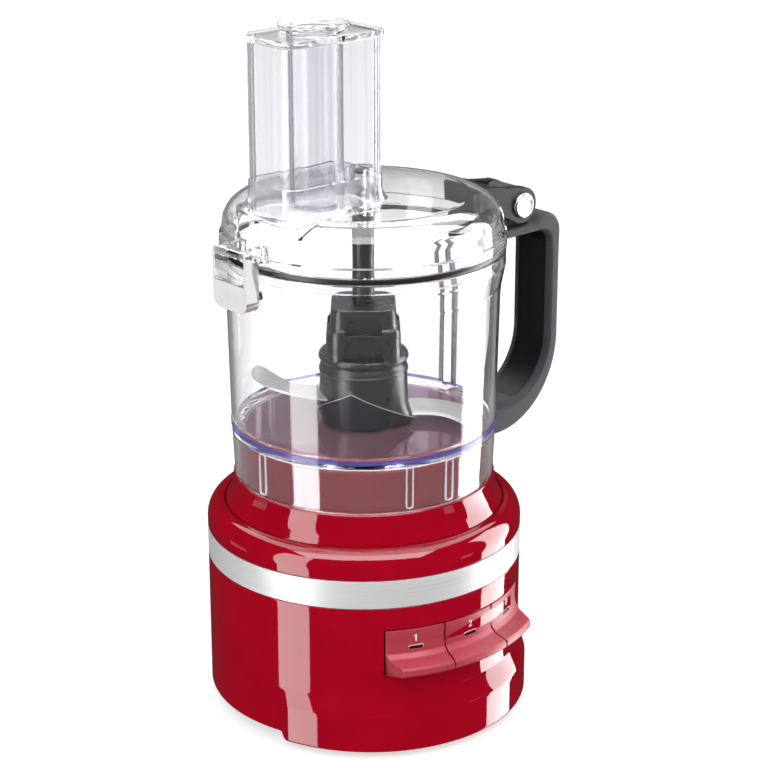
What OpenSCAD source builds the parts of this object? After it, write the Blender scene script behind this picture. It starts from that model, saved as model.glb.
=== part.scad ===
// Food processor with a belt-driven bowl, hinged lid, feed tube and three speed levers.
// Origin: where the bowl's drive axis meets the worktop. Front (levers) is -Y, handle +X, latch -X.

/* [Base] */
// Radius of the round base
base_r = 92.8; // [91:0.1:94]
// Height of the base shell's lower edge above the worktop
base_z = 8.5; // [8:0.5:9]
// Height of the steel band's lower edge
band_z = 92; // [90:0.5:94]
// Height of the steel band
band_h = 17; // [14:0.5:18]
// Wall thickness of the base shells
shell_t = 2.6; // [2:0.1:3]
// How far the front skirt is shifted forward from the base's axis
skirt_shift = 6.5; // [5:0.5:8]
// Angle that the front skirt spans
skirt_span = 142; // [120:2:150]
// Height of the top of the shoulder, where the collar starts
seam_z = 125; // [124:0.5:126]

/* [Bowl] */
// Height of the bowl's bottom edge
bowl_z = 142; // [141.5:0.5:143]
// Outer radius of the bowl at its bottom edge
bowl_r = 75.9; // [75.5:0.1:76.2]
// Height of the underside of the bowl's floor
floor_z = 168.6; // [168.4:0.1:169]
// Height of the bowl's rim
rim_z = 277.2; // [276.8:0.1:277.2]
// Outer radius of the bowl's rim
rim_r = 81.6; // [81:0.1:82]
// Wall thickness of the bowl
bowl_t = 2.6; // [2.2:0.1:2.8]

/* [Lid and feed tube] */
// Height of the lid's top
lid_top_z = 311; // [310:0.5:312]
// Wall thickness of the lid
lid_t = 2.4; // [2:0.1:2.6]
// Height of the feed tube's mouth
tube_top_z = 401; // [395:1:405]
// Length of the feed tube's plan, along X
tube_len = 67.5; // [66:0.5:68]
// Width of the feed tube's plan, along Y
tube_wid = 41; // [40:0.5:43]
// How far the feed tube sits in front of the drive axis
tube_front = 4; // [2:0.5:5]
// Wall thickness of the feed tube
tube_t = 2.2; // [2:0.1:2.4]

/* [Handle and hinge] */
// Distance from the drive axis to the outside of the handle
handle_x = 145; // [141:0.5:147]
// Width of the handle, along Y
handle_w = 32; // [30:0.5:33]
// Thickness of the upright grip
grip_t = 8.2; // [8:0.1:9]
// Distance from the drive axis to the lid hinge
hinge_x = 112; // [111:0.5:113]
// Height of the lid hinge
hinge_z = 284; // [283:0.5:285]

/* [Levers] */
// Angle between neighbouring levers
lever_pitch = 22.4; // [22:0.1:22.6]
// Gap between neighbouring levers
lever_gap = 1.1; // [1:0.1:1.4]
// Height of a lever's top edge
lever_top_z = 78; // [77:0.5:79]
// Height of a lever's bottom edge
lever_bottom_z = 51; // [50:0.5:52]
// Distance from the drive axis to a lever's finger edge
lever_reach = 104.5; // [102:0.5:106]

/* [Drive] */
// Distance from the drive axis to the motor's axis
motor_y = 46; // [46:0.5:48]
// Radius of the belt's run on the large pulley
big_pulley_r = 32.4; // [31:0.2:33]
// Speed of the motor over the speed of the bowl's spindle
belt_ratio = 3.6; // [3.4:0.1:3.8]
// Radius of the spindle
spindle_r = 5; // [4.5:0.1:5.4]

/* [Hidden] */
$fn = 96;

red = "firebrick";
charcoal = "dimgray";
clear = [0.85, 0.87, 0.95, 0.4];
steel = "silver";
front = 270;
fit = 0.05;
gap = 0.3;

band_top_z = band_z + band_h;
pedestal_r = bowl_r - bowl_t - 0.9;
pedestal_z = floor_z - 0.9;
plate_t = 3;
chassis_z = 84;
chassis_t = 2;
spindle_tube_r = 15.5;
bearing_r = 13;
dog_r = 6.6;
small_pulley_r = big_pulley_r / belt_ratio;
belt_z = 19;
belt_w = 8;
belt_t = 1.8;
motor_shaft_r = 3;
stator_r = 30;

lever_pin_r = 1.5;
lever_pin_y = 80;
lever_pin_z = 80;
lever_arm_y = 66;
spring_r = 3;
spring_top_z = 91;
window_half = 1.5 * lever_pitch;
window_gap = 1.3;

rim_wide_z = rim_z - 9;
lid_edge_z = rim_z + 3.6;
lid_skirt_z = lid_edge_z + 5.7;
tube_x1 = -5;
tube_x0 = tube_x1 - tube_len;
neck_z = 326;
tube_z = 303;
pusher_gap = 0.45;
pusher_t = 1.8;
bore_r = 13.4;
cup_r = 13;
cup_ring_r = 19.6;
pusher_x = -38;
flange_t = 3.8;
small_top_z = tube_top_z + 8.5;
boss_r = 9.6;
boss_hole_r = 4.4;
boss_z = 295;
adapter_r = 6.4;
adapter_top_z = 293.5;

latch_x = -91;
latch_z = 289;
latch_pin_r = 2;
latch_w = 28;
latch_bottom_z = 258;
barrel_r = 10.4;
ear_in = 10;
ear_out = 16;
hinge_pin_r = 4;
cap_r = 7.7;
bend_x = 95;

// ---- shapes that repeat ----

// Points of an arc in a profile, with separate radii along its two axes
function arc(cx, cy, rx, ry, a0, a1, n = 8) =
    [for (i = [0:n]) let (a = a0 + (a1 - a0) * i / n) [cx + rx * cos(a), cy + ry * sin(a)]];

// Outline of a bar in plan: radius rl at its -X corners and rr at its +X corners
function bar_plan(x0, x1, half, rl, rr) = concat(
    arc(x0 + rl, -half + rl, rl, rl, 180, 270, 10),
    arc(x1 - rr, -half + rr, rr, rr, 270, 360, 6),
    arc(x1 - rr, half - rr, rr, rr, 0, 90, 6),
    arc(x0 + rl, half - rl, rl, rl, 90, 180, 10));

// The feed tube's outline moved in by d, or out where d is negative
function tube_plan(d) = bar_plan(tube_x0 + d, tube_x1 - d, tube_wid / 2 - d, 9 - d, 6 - d);

module tube(r_out, r_in, z0, z1) {
    translate([0, 0, z0]) difference() {
        cylinder(r = r_out, h = z1 - z0);
        translate([0, 0, -1]) cylinder(r = r_in, h = z1 - z0 + 2);
    }
}

module disc(r, z0, z1) {
    translate([0, 0, z0]) cylinder(r = r, h = z1 - z0);
}

// A round bar along Y, centred on y = 0
module bar_y(x, z, r, length) {
    translate([x, length / 2, z]) rotate([90, 0, 0]) cylinder(r = r, h = length);
}

// A ring sector, centred on an angle
module sector(r_in, r_out, z0, z1, middle, span) {
    rotate([0, 0, middle - span / 2]) rotate_extrude(angle = span)
        translate([r_in, z0]) square([r_out - r_in, z1 - z0]);
}

module at_angles(angles, r) {
    for (a = angles) rotate([0, 0, a]) translate([r, 0, 0]) children();
}

module flat_x(half, points) {
    translate([0, half, 0]) rotate([90, 0, 0]) linear_extrude(2 * half) polygon(points);
}

// ---- base: shells ----

foot_angles = [45, 135, 225, 315];
foot_r = 74;
screw_angles = [20, 110, 200, 290];
screw_post_r = 80;

module skirt() difference() {
    intersection() {
        translate([0, -skirt_shift, 0]) rotate_extrude() polygon([[60, base_z - 4.3],
            [base_r, base_z - 4.3], [base_r, base_z + 19.5], [base_r - 5, base_z + 24],
            [base_r - skirt_shift - 2, base_z + 28], [60, base_z + 28]]);
        sector(base_r - shell_t - 1, base_r + skirt_shift + 2, 0, 60, front, skirt_span);
    }
    disc(base_r - shell_t, 0, 60);
}

module lower_housing() color(red) difference() {
    union() {
        rotate_extrude() polygon([
            [base_r - shell_t, base_z], [base_r, base_z], [base_r, band_z], [base_r - 1.8, band_z],
            [base_r - 1.8, band_top_z], [base_r - 4.4, band_top_z], [base_r - 4.4, band_z - 3],
            [base_r - shell_t, band_z - 6]]);
        skirt();
        at_angles(screw_angles, screw_post_r) disc(4.5, base_z + plate_t, 40);
        at_angles(screw_angles, 0) translate([screw_post_r, -1.5, base_z + plate_t])
            cube([base_r - screw_post_r - 1, 3, 40 - base_z - plate_t]);
    }
    sector(base_r - 6, base_r + 10, lever_bottom_z - window_gap, lever_top_z + 0.8, front,
        2 * window_half + 0.4);
    at_angles(screw_angles, screw_post_r) disc(1.5, 0, 30);
    translate([0, base_r + 5, 22]) rotate([90, 0, 0]) cylinder(r = 7.5, h = 12);
}

module shoulder_ring() color(red) rotate_extrude() polygon(concat(
    [[base_r, band_top_z]],
    arc(83, 114, base_r - 83, seam_z - 114, 0, 90, 10),
    [[82.5, seam_z], [82.5, seam_z - 3.5]],
    arc(82.5, 114, base_r - 82.5 - shell_t, seam_z - 114 - 3.5, 80, 0, 6),
    [[base_r - shell_t, 113], [84, 113], [84, band_top_z - 6], [base_r - 4.6, band_top_z - 6],
     [base_r - 4.6, band_top_z]]));

module top_cover() color(red) difference() {
    collar_r = bowl_r + 0.9;
    rotate_extrude() polygon(concat(
        [[9, pedestal_z]],
        [[pedestal_r - 3, pedestal_z]],
        arc(pedestal_r - 3, pedestal_z - 3, 3, 3, 90, 0, 4),
        [[pedestal_r, bowl_z - gap], [collar_r, bowl_z - gap]],
        arc(collar_r + 8, bowl_z - gap, 8, bowl_z - gap - seam_z, 180, 229, 8),
        [[82.1, seam_z - 0.6], [82.1, seam_z - 4], [70, seam_z - 4], [70, seam_z - 1.4],
         [collar_r - 3, seam_z + 2], [collar_r - 3, bowl_z - gap - shell_t],
         [pedestal_r - shell_t, bowl_z - gap - shell_t],
         [pedestal_r - shell_t, pedestal_z - shell_t], [9, pedestal_z - shell_t]]));
}

module trim_band() color(steel) tube(base_r, base_r - 1.4, band_z + 0.2, band_top_z - 0.2);

module base_plate() color(charcoal) difference() {
    union() {
        disc(base_r - shell_t - 0.2, base_z, base_z + plate_t);
        tube(60, 58, base_z + plate_t, base_z + 4.5);
        at_angles([0, 180, 225, 270, 315], 0)
            translate([14, -1, base_z + plate_t]) cube([45, 2, 1.5]);
    }
    at_angles(foot_angles, foot_r) disc(4, 0, 30);
    at_angles(screw_angles, screw_post_r) disc(1.9, 0, 30);
    for (i = [-4:4]) translate([i * 6 - 1.5, motor_y - 16, 0]) cube([3, 20, 9 + plate_t]);
}

module rubber_feet() color("black") at_angles(foot_angles, foot_r) rotate_extrude()
    polygon([[0, 0], [8, 0], [9, 1], [9, base_z], [3.95, base_z], [3.95, base_z + plate_t],
        [5.2, base_z + plate_t], [4, base_z + plate_t + 2.4], [0, base_z + plate_t + 2.4]]);

module housing_screws() color(steel) at_angles(screw_angles, screw_post_r) difference() {
    rotate_extrude() polygon([[0, base_z - 2.2], [2.4, base_z - 2.2], [3.4, base_z - 1.2],
        [3.4, base_z], [1.45, base_z], [1.45, 29], [0, 30]]);
    translate([-2, -0.4, base_z - 3]) cube([4, 0.8, 1.6]);
}

module cord_inlet() color("black") translate([0, base_r, 22]) rotate([90, 0, 0])
    rotate_extrude() polygon([[3.6, -3], [9.5, -3], [10.5, -2], [10.5, -0.4], [7.45, -0.4],
        [7.45, 3.6], [8.6, 3.6], [7.6, 9], [3.6, 9]]);

// ---- base: drive ----

module chassis_plate() color(steel) difference() {
    disc(85.5, chassis_z, chassis_z + chassis_t);
    disc(spindle_tube_r, chassis_z - 1, chassis_z + 3);
    sector(54, 90, chassis_z - 1, chassis_z + 3, front, 84);
    translate([0, motor_y, 0]) disc(7, chassis_z - 1, chassis_z + 3);
    at_angles([20, 160], 66) disc(6, chassis_z - 1, chassis_z + 3);
}

module spindle_housing() color(steel) difference() {
    union() {
        disc(spindle_tube_r - 0.05, 34, 158);
        disc(22, chassis_z + chassis_t, chassis_z + 5);
    }
    disc(bearing_r, 33, 43);
    disc(bearing_r, 149, 160);
    disc(spindle_r + 3, 40, 152);
}

module bearing(outer, bore, z0, z1) difference() {
    tube(outer, bore, z0, z1);
    tube(outer - 2.2, bore + 2.2, z0 - 1, z0 + 0.6);
    tube(outer - 2.2, bore + 2.2, z1 - 0.6, z1 + 1);
}

module spindle_bearings() color(steel) for (z = [35, 149]) {
    bearing(bearing_r - 0.02, spindle_r + fit, z, z + 8);
}

module spindle_seal() color("black") rotate_extrude() polygon([[dog_r + 0.3, pedestal_z - 1.2],
    [8.95, pedestal_z - 1.2], [8.95, pedestal_z - 3.4], [11, pedestal_z - 3.4],
    [11, pedestal_z - 5], [dog_r + 0.3, pedestal_z - 5]]);

module drive_spindle() color(steel) difference() {
    disc(spindle_r, 13, 184);
    tube(spindle_r + 1, spindle_r - 0.4, 30.2, 31.4);
}

module drive_pulley() color("white") difference() {
    union() {
        tube(big_pulley_r - 0.1, spindle_r, belt_z - 5, belt_z + 5);
        tube(big_pulley_r + 1.6, big_pulley_r - 2, belt_z - 5.4, belt_z - 4.4);
        tube(big_pulley_r + 1.6, big_pulley_r - 2, belt_z + 4.4, belt_z + 5.4);
    }
    tube(big_pulley_r - 4, 10, belt_z + 1, belt_z + 6);
    tube(big_pulley_r - 4, 10, belt_z - 6, belt_z - 1);
    at_angles([0, 60, 120, 180, 240, 300], 20) disc(5, belt_z - 6, belt_z + 6);
}

module drive_dog() color(steel) difference() {
    translate([0, 0, pedestal_z + 1]) cylinder(r = dog_r, h = 17, $fn = 6);
    disc(spindle_r, pedestal_z, 184);
}

module drive_belt() color("black") difference() {
    wrap = acos((big_pulley_r - small_pulley_r) / motor_y);
    r1 = big_pulley_r;
    r2 = small_pulley_r;
    translate([0, 0, belt_z - belt_w / 2]) linear_extrude(belt_w) polygon(concat(
        arc(0, 0, r1 + belt_t, r1 + belt_t, 90 + wrap, 450 - wrap, 48),
        arc(0, motor_y, r2 + belt_t, r2 + belt_t, 90 - wrap, 90 + wrap, 16)));
    translate([0, 0, belt_z - belt_w]) linear_extrude(2 * belt_w) polygon(concat(
        arc(0, 0, r1, r1, 90 + wrap, 450 - wrap, 48),
        arc(0, motor_y, r2, r2, 90 - wrap, 90 + wrap, 16)));
}

module at_motor() translate([0, motor_y, 0]) children();

module motor_shaft() color(steel) at_motor() disc(motor_shaft_r, 12, 82);

module motor_pulley() color(steel) at_motor() difference() {
    union() {
        tube(small_pulley_r - 0.1, motor_shaft_r, belt_z - 5, belt_z + 5);
        tube(small_pulley_r + 1.6, motor_shaft_r, belt_z - 5.4, belt_z - 4.4);
        tube(small_pulley_r + 1.6, motor_shaft_r, belt_z + 4.4, belt_z + 5.4);
    }
}

module armature() color("saddlebrown") at_motor() difference() {
    union() {
        tube(16, motor_shaft_r, 42, 64);
        tube(13, motor_shaft_r, 39.5, 66.5);
    }
    at_angles([for (i = [0:11]) i * 30], 15.2) disc(0.9, 38, 68);
}

module commutator() color("peru") at_motor() tube(8, motor_shaft_r, 68, 76);

module cooling_fan() color("white") at_motor() {
    tube(8, motor_shaft_r, 31, 37);
    tube(24, 7.9, 35.6, 37);
    at_angles([for (i = [0:8]) i * 40], 0) translate([7, -0.7, 28.6]) cube([16, 1.4, 7.2]);
}

module motor_frame() color(steel) at_motor() difference() {
    union() {
        disc(12, 76.4, chassis_z);
        disc(10, 25.6, 27.6);
        for (s = [-1, 1]) translate([s * 29 - 3, -8, 25.6]) cube([6, 16, chassis_z - 25.6]);
        translate([-31, -8, 25.6]) cube([62, 16, 2]);
        translate([-31, -8, 78]) cube([62, 16, 2]);
    }
    disc(6.5, 20, 90);
    tube(stator_r + 0.05, 12.5, 38, 68);
}

module motor_stator() color("gray") at_motor() difference() {
    disc(stator_r - 1, 42, 64);
    disc(16.8, 40, 70);
    for (s = [-1, 1]) translate([-12, s * 24 - 4, 40]) cube([24, 8, 30]);
    for (s = [-1, 1]) translate([s * 29 - 3.1, -8.1, 40]) cube([6.2, 16.2, 30]);
}

module motor_windings() color("peru") at_motor() for (s = [-1, 1]) {
    translate([-11.5, s * 23.9 - 3.5, 38.5]) cube([23, 7, 29]);
}

module motor_bearings() color(steel) at_motor() for (z = [25.6, 77]) {
    tube(6.48, motor_shaft_r + fit, z, z + 5);
}

module brush_holders() color("goldenrod") at_motor() for (s = [-1, 1]) {
    translate([-3, s * 15 - (s > 0 ? 6.8 : 7.2), 69.5]) cube([6, 14, 5]);
}

// ---- base: controls ----

module control_board() color("green") {
    translate([-78, -22, 46]) cube([1.6, 44, 30]);
    translate([-76.4, -12, 52]) cube([12, 14, 16]);
    translate([-76.4, 8, 50]) cube([9, 9, 12]);
}

module bowl_switch() color("black") {
    translate([62, -10, 100]) cube([10, 20, 16]);
    translate([65, -2, 116]) cube([4, 4, 3]);
}

lever_turns = [-lever_pitch, 0, lever_pitch];

// Puts a lever's parts, drawn as the middle lever pointing to -Y, at one of the three places
module at_lever(turn) rotate([0, 0, turn]) children();

module lever_frame() color(charcoal) difference() {
    union() {
        sector(57, base_r - 4.5, spring_top_z, spring_top_z + 2.4, front, 70);
        sector(57, 59.5, 54, spring_top_z + 0.1, front, 70);
        for (t = lever_turns) at_lever(t) for (s = [-1, 1])
            translate([s * 10 - 1.2, -lever_pin_y - 3, lever_pin_z - 3])
                cube([2.4, 6, spring_top_z - lever_pin_z + 3.1]);
    }
    for (t = lever_turns) at_lever(t) translate([-13, -lever_pin_y, lever_pin_z])
        rotate([0, 90, 0]) cylinder(r = lever_pin_r, h = 26);
}

module lever_pins() color(steel) for (t = lever_turns) at_lever(t)
    translate([-11.6, -lever_pin_y, lever_pin_z]) rotate([0, 90, 0])
        cylinder(r = lever_pin_r - 0.02, h = 23.2);

module lever_switches() color("black") for (t = lever_turns) at_lever(t) {
    translate([-7, -82, 52]) cube([14, 21, 9]);
    translate([-1.5, -84.6, 55]) cube([3, 4, 3]);
}

module lever_spring(turn) color(steel) at_lever(turn) translate([0, -lever_arm_y, 0])
    tube(spring_r, spring_r - 0.9, lever_pin_z + 1.8, spring_top_z - 0.05);

module lever_spring_1() lever_spring(-lever_pitch);
module lever_spring_2() lever_spring(0);
module lever_spring_0() lever_spring(lever_pitch);

lever_profile = [
    [base_r + 0.2, lever_top_z], [base_r - 0.3, lever_top_z - 9], [base_r + 0.6, 63.5],
    [base_r + 2.2, 62], [lever_reach - 1, 58.9], [lever_reach, 57.8], [lever_reach, 54.6],
    [lever_reach - 1, 53.7], [base_r + 1, lever_bottom_z], [base_r - 2.4, lever_bottom_z],
    [base_r - 2.4, lever_top_z]];

// end is -1 or 1 where the lever closes the bank on that side, so that its shelf is cut back
module lever(end) difference() {
    union() {
        difference() {
            rotate([0, 0, front - lever_pitch / 2]) rotate_extrude(angle = lever_pitch)
                polygon(lever_profile);
            for (s = [-1, 1]) rotate([0, 0, s * lever_pitch / 2])
                translate([-lever_gap / 2, -lever_reach - 5, 0]) cube([lever_gap, 40, 100]);
            if (end != 0) mirror([end > 0 ? 1 : 0, 0, 0]) rotate([0, 0, -lever_pitch / 2])
                linear_extrude(100) polygon([[-5, -base_r - 1], [lever_gap / 2, -base_r - 1],
                    [10, -lever_reach - 1], [-5, -lever_reach - 1]]);
        }
        translate([-8, -lever_pin_y - 10.5, lever_pin_z - 4.4]) cube([16, 10.5, 2.2]);
        translate([-8, -lever_pin_y, lever_pin_z]) rotate([0, 90, 0]) cylinder(r = 3, h = 16);
        translate([-3.5, -lever_arm_y - 14, lever_pin_z - 1.6]) cube([7, 17.5, 3.2]);
    }
    translate([-9, -lever_pin_y, lever_pin_z]) rotate([0, 90, 0])
        cylinder(r = lever_pin_r + fit, h = 18);
    translate([-4, -base_r - 3, 65.5]) cube([8, 8, 2]);
}

module lever_light() color("white")
    translate([-3.95, -base_r - 0.1, 65.55]) cube([7.9, 2.2, 1.9]);

module lever_1() color("indianred") at_lever(-lever_pitch) lever(-1);
module lever_2() color("indianred") at_lever(0) lever(0);
module lever_0() color("indianred") at_lever(lever_pitch) lever(1);
module lever_light_1() at_lever(-lever_pitch) lever_light();
module lever_light_2() at_lever(0) lever_light();
module lever_light_0() at_lever(lever_pitch) lever_light();

// ---- bowl ----

bowl_wall = [
    [bowl_r, bowl_z], [77.2, 173], [78.4, 234], [78.7, 250], [79.4, 258], [81, 265],
    [rim_r, rim_wide_z], [rim_r, rim_z]];
bowl_hole_r = 12.2;
tab_half = 9;
tab_x = 96;
tab_z = 266.8;
tab_h = 2.8;
screw_x = 88;

module bowl() color(clear) {
    rotate_extrude() polygon(concat(
        bowl_wall,
        [[rim_r - bowl_t, rim_z], [rim_r - bowl_t, rim_wide_z], [81 - bowl_t, 265],
         [79.4 - bowl_t, 258], [78.7 - bowl_t, 250], [78.4 - bowl_t, 234],
         [77.2 - bowl_t, floor_z + bowl_t + 3], [77.2 - bowl_t - 3, floor_z + bowl_t],
         [bowl_hole_r + bowl_t, floor_z + bowl_t], [bowl_hole_r + bowl_t, 180], [bowl_hole_r, 180],
         [bowl_hole_r, floor_z], [76.8 - bowl_t, floor_z], [bowl_r - bowl_t, bowl_z]]));
    translate([-rim_r - 2.4, -11, 262]) cube([4.4, 22, 7]);
    difference() {
        intersection() {
            translate([rim_r - 4, -tab_half, tab_z]) cube([tab_x - rim_r + 4, 2 * tab_half, tab_h]);
            tube(tab_x + 2, rim_r - 1, 260, 280);
        }
        translate([screw_x, 0, 0]) disc(1.55, 260, 280);
    }
}

// Side outline of the handle: straight grip, round lower bend and level top arm
top_arm_z = 265;
bend_z = 198;
handle_end_z = bowl_z + 0.5;
handle_outer = concat(
    arc(bend_x, bend_z, handle_x - bend_x, bend_z - handle_end_z, 270, 360, 16),
    arc(handle_x - 13, 263, 13, 13, 0, 90, 8),
    [[126, 276], [126, 270.6], [70, 270.6]]);
handle_inner = concat(
    [[70, top_arm_z]],
    arc(handle_x - grip_t - 9, top_arm_z - 9, 9, 9, 90, 0, 8),
    arc(bend_x + 2.7, bend_z, handle_x - grip_t - bend_x - 2.7, 39.5, 360, 270, 16),
    [[70, 158.5], [70, handle_end_z]]);
grip_depth = 2.4;
grip_half = 12;
grip_face = concat(
    arc(handle_x - grip_t - 9, top_arm_z - 9, 9, 9, 60, 0, 4),
    arc(bend_x + 2.7, bend_z, handle_x - grip_t - bend_x - 2.7, 39.5, 360, 285, 12));
grip_back = concat(
    arc(bend_x + 2.7, bend_z, handle_x - grip_t - bend_x - 2.7 + grip_depth, 39.5 + grip_depth,
        285, 360, 12),
    arc(handle_x - grip_t - 9, top_arm_z - 9, 9 + grip_depth, 9 + grip_depth, 0, 60, 4));

module handle() color(charcoal) difference() {
    union() {
        difference() {
            flat_x(handle_w / 2, concat(handle_outer, handle_inner));
            for (s = [-1, 1]) translate([0, s * (ear_in - gap + 20), 0])
                bar_y(hinge_x, hinge_z, barrel_r + 1.2, 40);
        }
        translate([hinge_x - barrel_r, -ear_in + gap, top_arm_z + 1])
            cube([2 * barrel_r, 2 * ear_in - 2 * gap, hinge_z - top_arm_z - 1]);
        bar_y(hinge_x, hinge_z, barrel_r, 2 * ear_in - 2 * gap);
    }
    rotate_extrude() polygon(concat([[0, bowl_z]], bowl_wall, [[0, rim_z]]));
    translate([60, -tab_half - fit, tab_z - fit])
        cube([tab_x - 59, 2 * tab_half + 2 * fit, tab_h + 2 * fit]);
    flat_x(grip_half, concat(grip_face, grip_back));
    translate([screw_x, 0, 0]) disc(1.55, 260, 270);
    translate([screw_x, 0, 0]) disc(3.4, 260, top_arm_z + 1);
    bar_y(hinge_x, hinge_z, hinge_pin_r, 60);
}

// Soft inner pad, flush with the handle's inner face
module handle_grip() color("black") flat_x(grip_half - fit, concat(grip_face, grip_back));

module handle_screw() color(steel) translate([screw_x, 0, 0]) difference() {
    union() {
        disc(1.5, top_arm_z, 269.4);
        disc(3.3, top_arm_z, top_arm_z + 1);
    }
    translate([-2, -0.4, top_arm_z - 1]) cube([4, 0.8, 1.5]);
}

module hinge_pin() color(steel) bar_y(hinge_x, hinge_z, hinge_pin_r - 0.02, 2 * ear_out);

module hinge_caps() color(steel) for (s = [0, 1]) mirror([0, s, 0])
    translate([hinge_x, ear_out + 0.1, hinge_z]) rotate([-90, 0, 0]) rotate_extrude()
        polygon(concat([[0, 0], [cap_r, 0], [cap_r, 0.9]],
            arc(cap_r - 0.9, 0.9, 0.9, 0.9, 0, 80, 3), [[0, 2.1]]));

// ---- blade ----

hub_z = 173;
hub_top_z = 248;

module drive_adapter() color("black") difference() {
    union() {
        disc(10.8, floor_z + bowl_t + 0.6, 190);
        disc(adapter_r, 190, adapter_top_z);
        disc(3, adapter_top_z, 313);
    }
    translate([0, 0, 168]) cylinder(r = dog_r + 0.5, h = 19.6, $fn = 6);
}

module blade_hub() color("black") difference() {
    rotate_extrude() polygon([
        [bowl_hole_r + bowl_t + 1.2, hub_z], [26.4, hub_z], [27.2, 174.2], [25.8, 176],
        [25.6, 206.5], [24.2, 209], [25.6, 210.6], [26.2, 212.6], [25.2, 214.6], [21.6, 216.4],
        [20.8, 218], [20.8, 228], [19.6, 235.5], [18.2, 240], [18, hub_top_z - 0.8],
        [17.2, hub_top_z], [adapter_r + 0.1, hub_top_z], [adapter_r + 0.1, 191],
        [10.9, 191], [10.9, 183], [bowl_hole_r + bowl_t + 1.2, 183]]);
    at_angles([0, 90, 180, 270], 16.6) translate([0, -7, 222]) cube([8, 14, 19]);
}

// Plan outline of one blade: a strip that sweeps back as it goes out and ends round
blade_root = 23;
blade_tip = 70;
function blade_mid(t) = let (r = blade_root + (blade_tip - blade_root) * t, a = -34 * t * t)
    [r * cos(a), r * sin(a)];
function blade_half(t) = (13.5 - 3.5 * t) * sqrt(max(0, 1 - pow(max(0, t - 0.72) / 0.28, 2)));
blade_steps = 20;
blade_outline = concat(
    [for (i = [0:blade_steps]) let (t = i / blade_steps, m = blade_mid(t), a = -50 * t)
        m + blade_half(t) * [-sin(a), cos(a)]],
    [for (i = [blade_steps - 1:-1:0]) let (t = i / blade_steps, m = blade_mid(t), a = -50 * t)
        m - blade_half(t) * [-sin(a), cos(a)]]);

module blade(turn, z, lift) color(steel) difference() {
    rotate([0, 0, turn]) translate([0, 0, z]) rotate([0, -lift, 0]) translate([0, 0, -0.7])
        linear_extrude(1.4) polygon(blade_outline);
    disc(25.9, 160, 230);
}

module upper_blade() blade(150, 186, 9);
module lower_blade() blade(-30, 177.5, 0);

// ---- lid ----

dome_outer = concat(
    [[rim_r + 0.4, lid_edge_z], [rim_r + 0.4, lid_skirt_z - 0.6], [rim_r - 0.2, lid_skirt_z],
     [80.9, lid_skirt_z + 0.4], [79.6, 296.5]],
    arc(60, 294.2, 19.4, 14, 20, 90, 8),
    [[45, lid_top_z - 1], [25, lid_top_z - 0.2], [boss_r, lid_top_z]]);
dome_inner = concat(
    [[boss_r, lid_top_z - lid_t], [25, lid_top_z - lid_t - 0.2], [45, lid_top_z - lid_t - 1]],
    arc(60, 294.2, 19.4 - lid_t, 14 - lid_t, 90, 20, 8),
    [[76.9, 292], [75.6, 284], [75.6, rim_wide_z + 2.4], [77.6, rim_wide_z + 2.4],
     [77.6, lid_edge_z]]);

module at_tube() translate([0, -tube_front, 0]) children();

module lid() color(clear) difference() {
    union() {
        rotate_extrude() polygon(concat(dome_outer, dome_inner));
        disc(boss_r, boss_z, 315);
        intersection() {
            at_tube() translate([0, 0, 303]) linear_extrude(neck_z - 303)
                polygon(bar_plan(tube_x0 - 2.4, tube_x1 + 0.2, tube_wid / 2 + 2.4, 11, 6));
            disc(77, 300, neck_z);
        }
        for (s = [-1, 1]) translate([latch_x - 3.4, s * 9 - 2.5, latch_z - 5])
            cube([18.8, 5, 9]);
    }
    at_tube() translate([0, 0, 290]) linear_extrude(60) polygon(tube_plan(-fit));
    disc(boss_hole_r, 290, 320);
    bar_y(latch_x, latch_z, latch_pin_r + fit, 40);
}

module feed_tube() color(clear) at_tube() difference() {
    translate([0, 0, tube_z]) linear_extrude(tube_top_z - gap - tube_z) polygon(tube_plan(0));
    translate([0, 0, tube_z - 1]) linear_extrude(120) polygon(tube_plan(tube_t));
}

module lid_seal() color("black") tube(rim_r - 0.1, 78.2, rim_z + gap, lid_edge_z - 0.05);

module lid_hinge() color(charcoal) difference() {
    union() {
        for (s = [-1, 1]) translate([0, s * (ear_in + ear_out) / 2, 0])
            flat_x((ear_out - ear_in) / 2, concat(
                arc(hinge_x, hinge_z, barrel_r + 0.5, barrel_r + 0.5, -110, 95, 24),
                [[92, 298], [76, 300], [74, 288], [88, 283.2]]));
        flat_x(ear_out, [[76, 299], [97, 296], [96.6, 289], [88, 284.4], [74, 288]]);
    }
    rotate_extrude() polygon(concat([[0, 260], [82.2, 260]], dome_outer, [[0, lid_top_z]]));
    bar_y(hinge_x, hinge_z, hinge_pin_r + fit, 60);
}

module latch_pin() color(steel) bar_y(latch_x, latch_z, latch_pin_r, latch_w - 3.4);

module latch_clip() color(steel) difference() {
    x0 = latch_x - 5;
    union() {
        translate([x0, 0, 0]) rotate([90, 0, 90]) linear_extrude(1.6) polygon(concat(
            arc(-latch_w / 2 + 6, latch_bottom_z + 6, 6, 6, 180, 270, 6),
            arc(latch_w / 2 - 6, latch_bottom_z + 6, 6, 6, 270, 360, 6),
            [[latch_w / 2, latch_z + 3], [-latch_w / 2, latch_z + 3]]));
        for (s = [-1, 1]) translate([x0, s * (latch_w / 2 - 0.8) - 0.8, latch_bottom_z + 5])
            cube([8.8, 1.6, latch_z - latch_bottom_z - 1]);
    }
    translate([x0 - 1, -latch_w / 2 + 2, latch_z - 16]) cube([3, latch_w - 4, 30]);
    bar_y(latch_x, latch_z, latch_pin_r + fit, 60);
}

// ---- pushers ----

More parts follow.
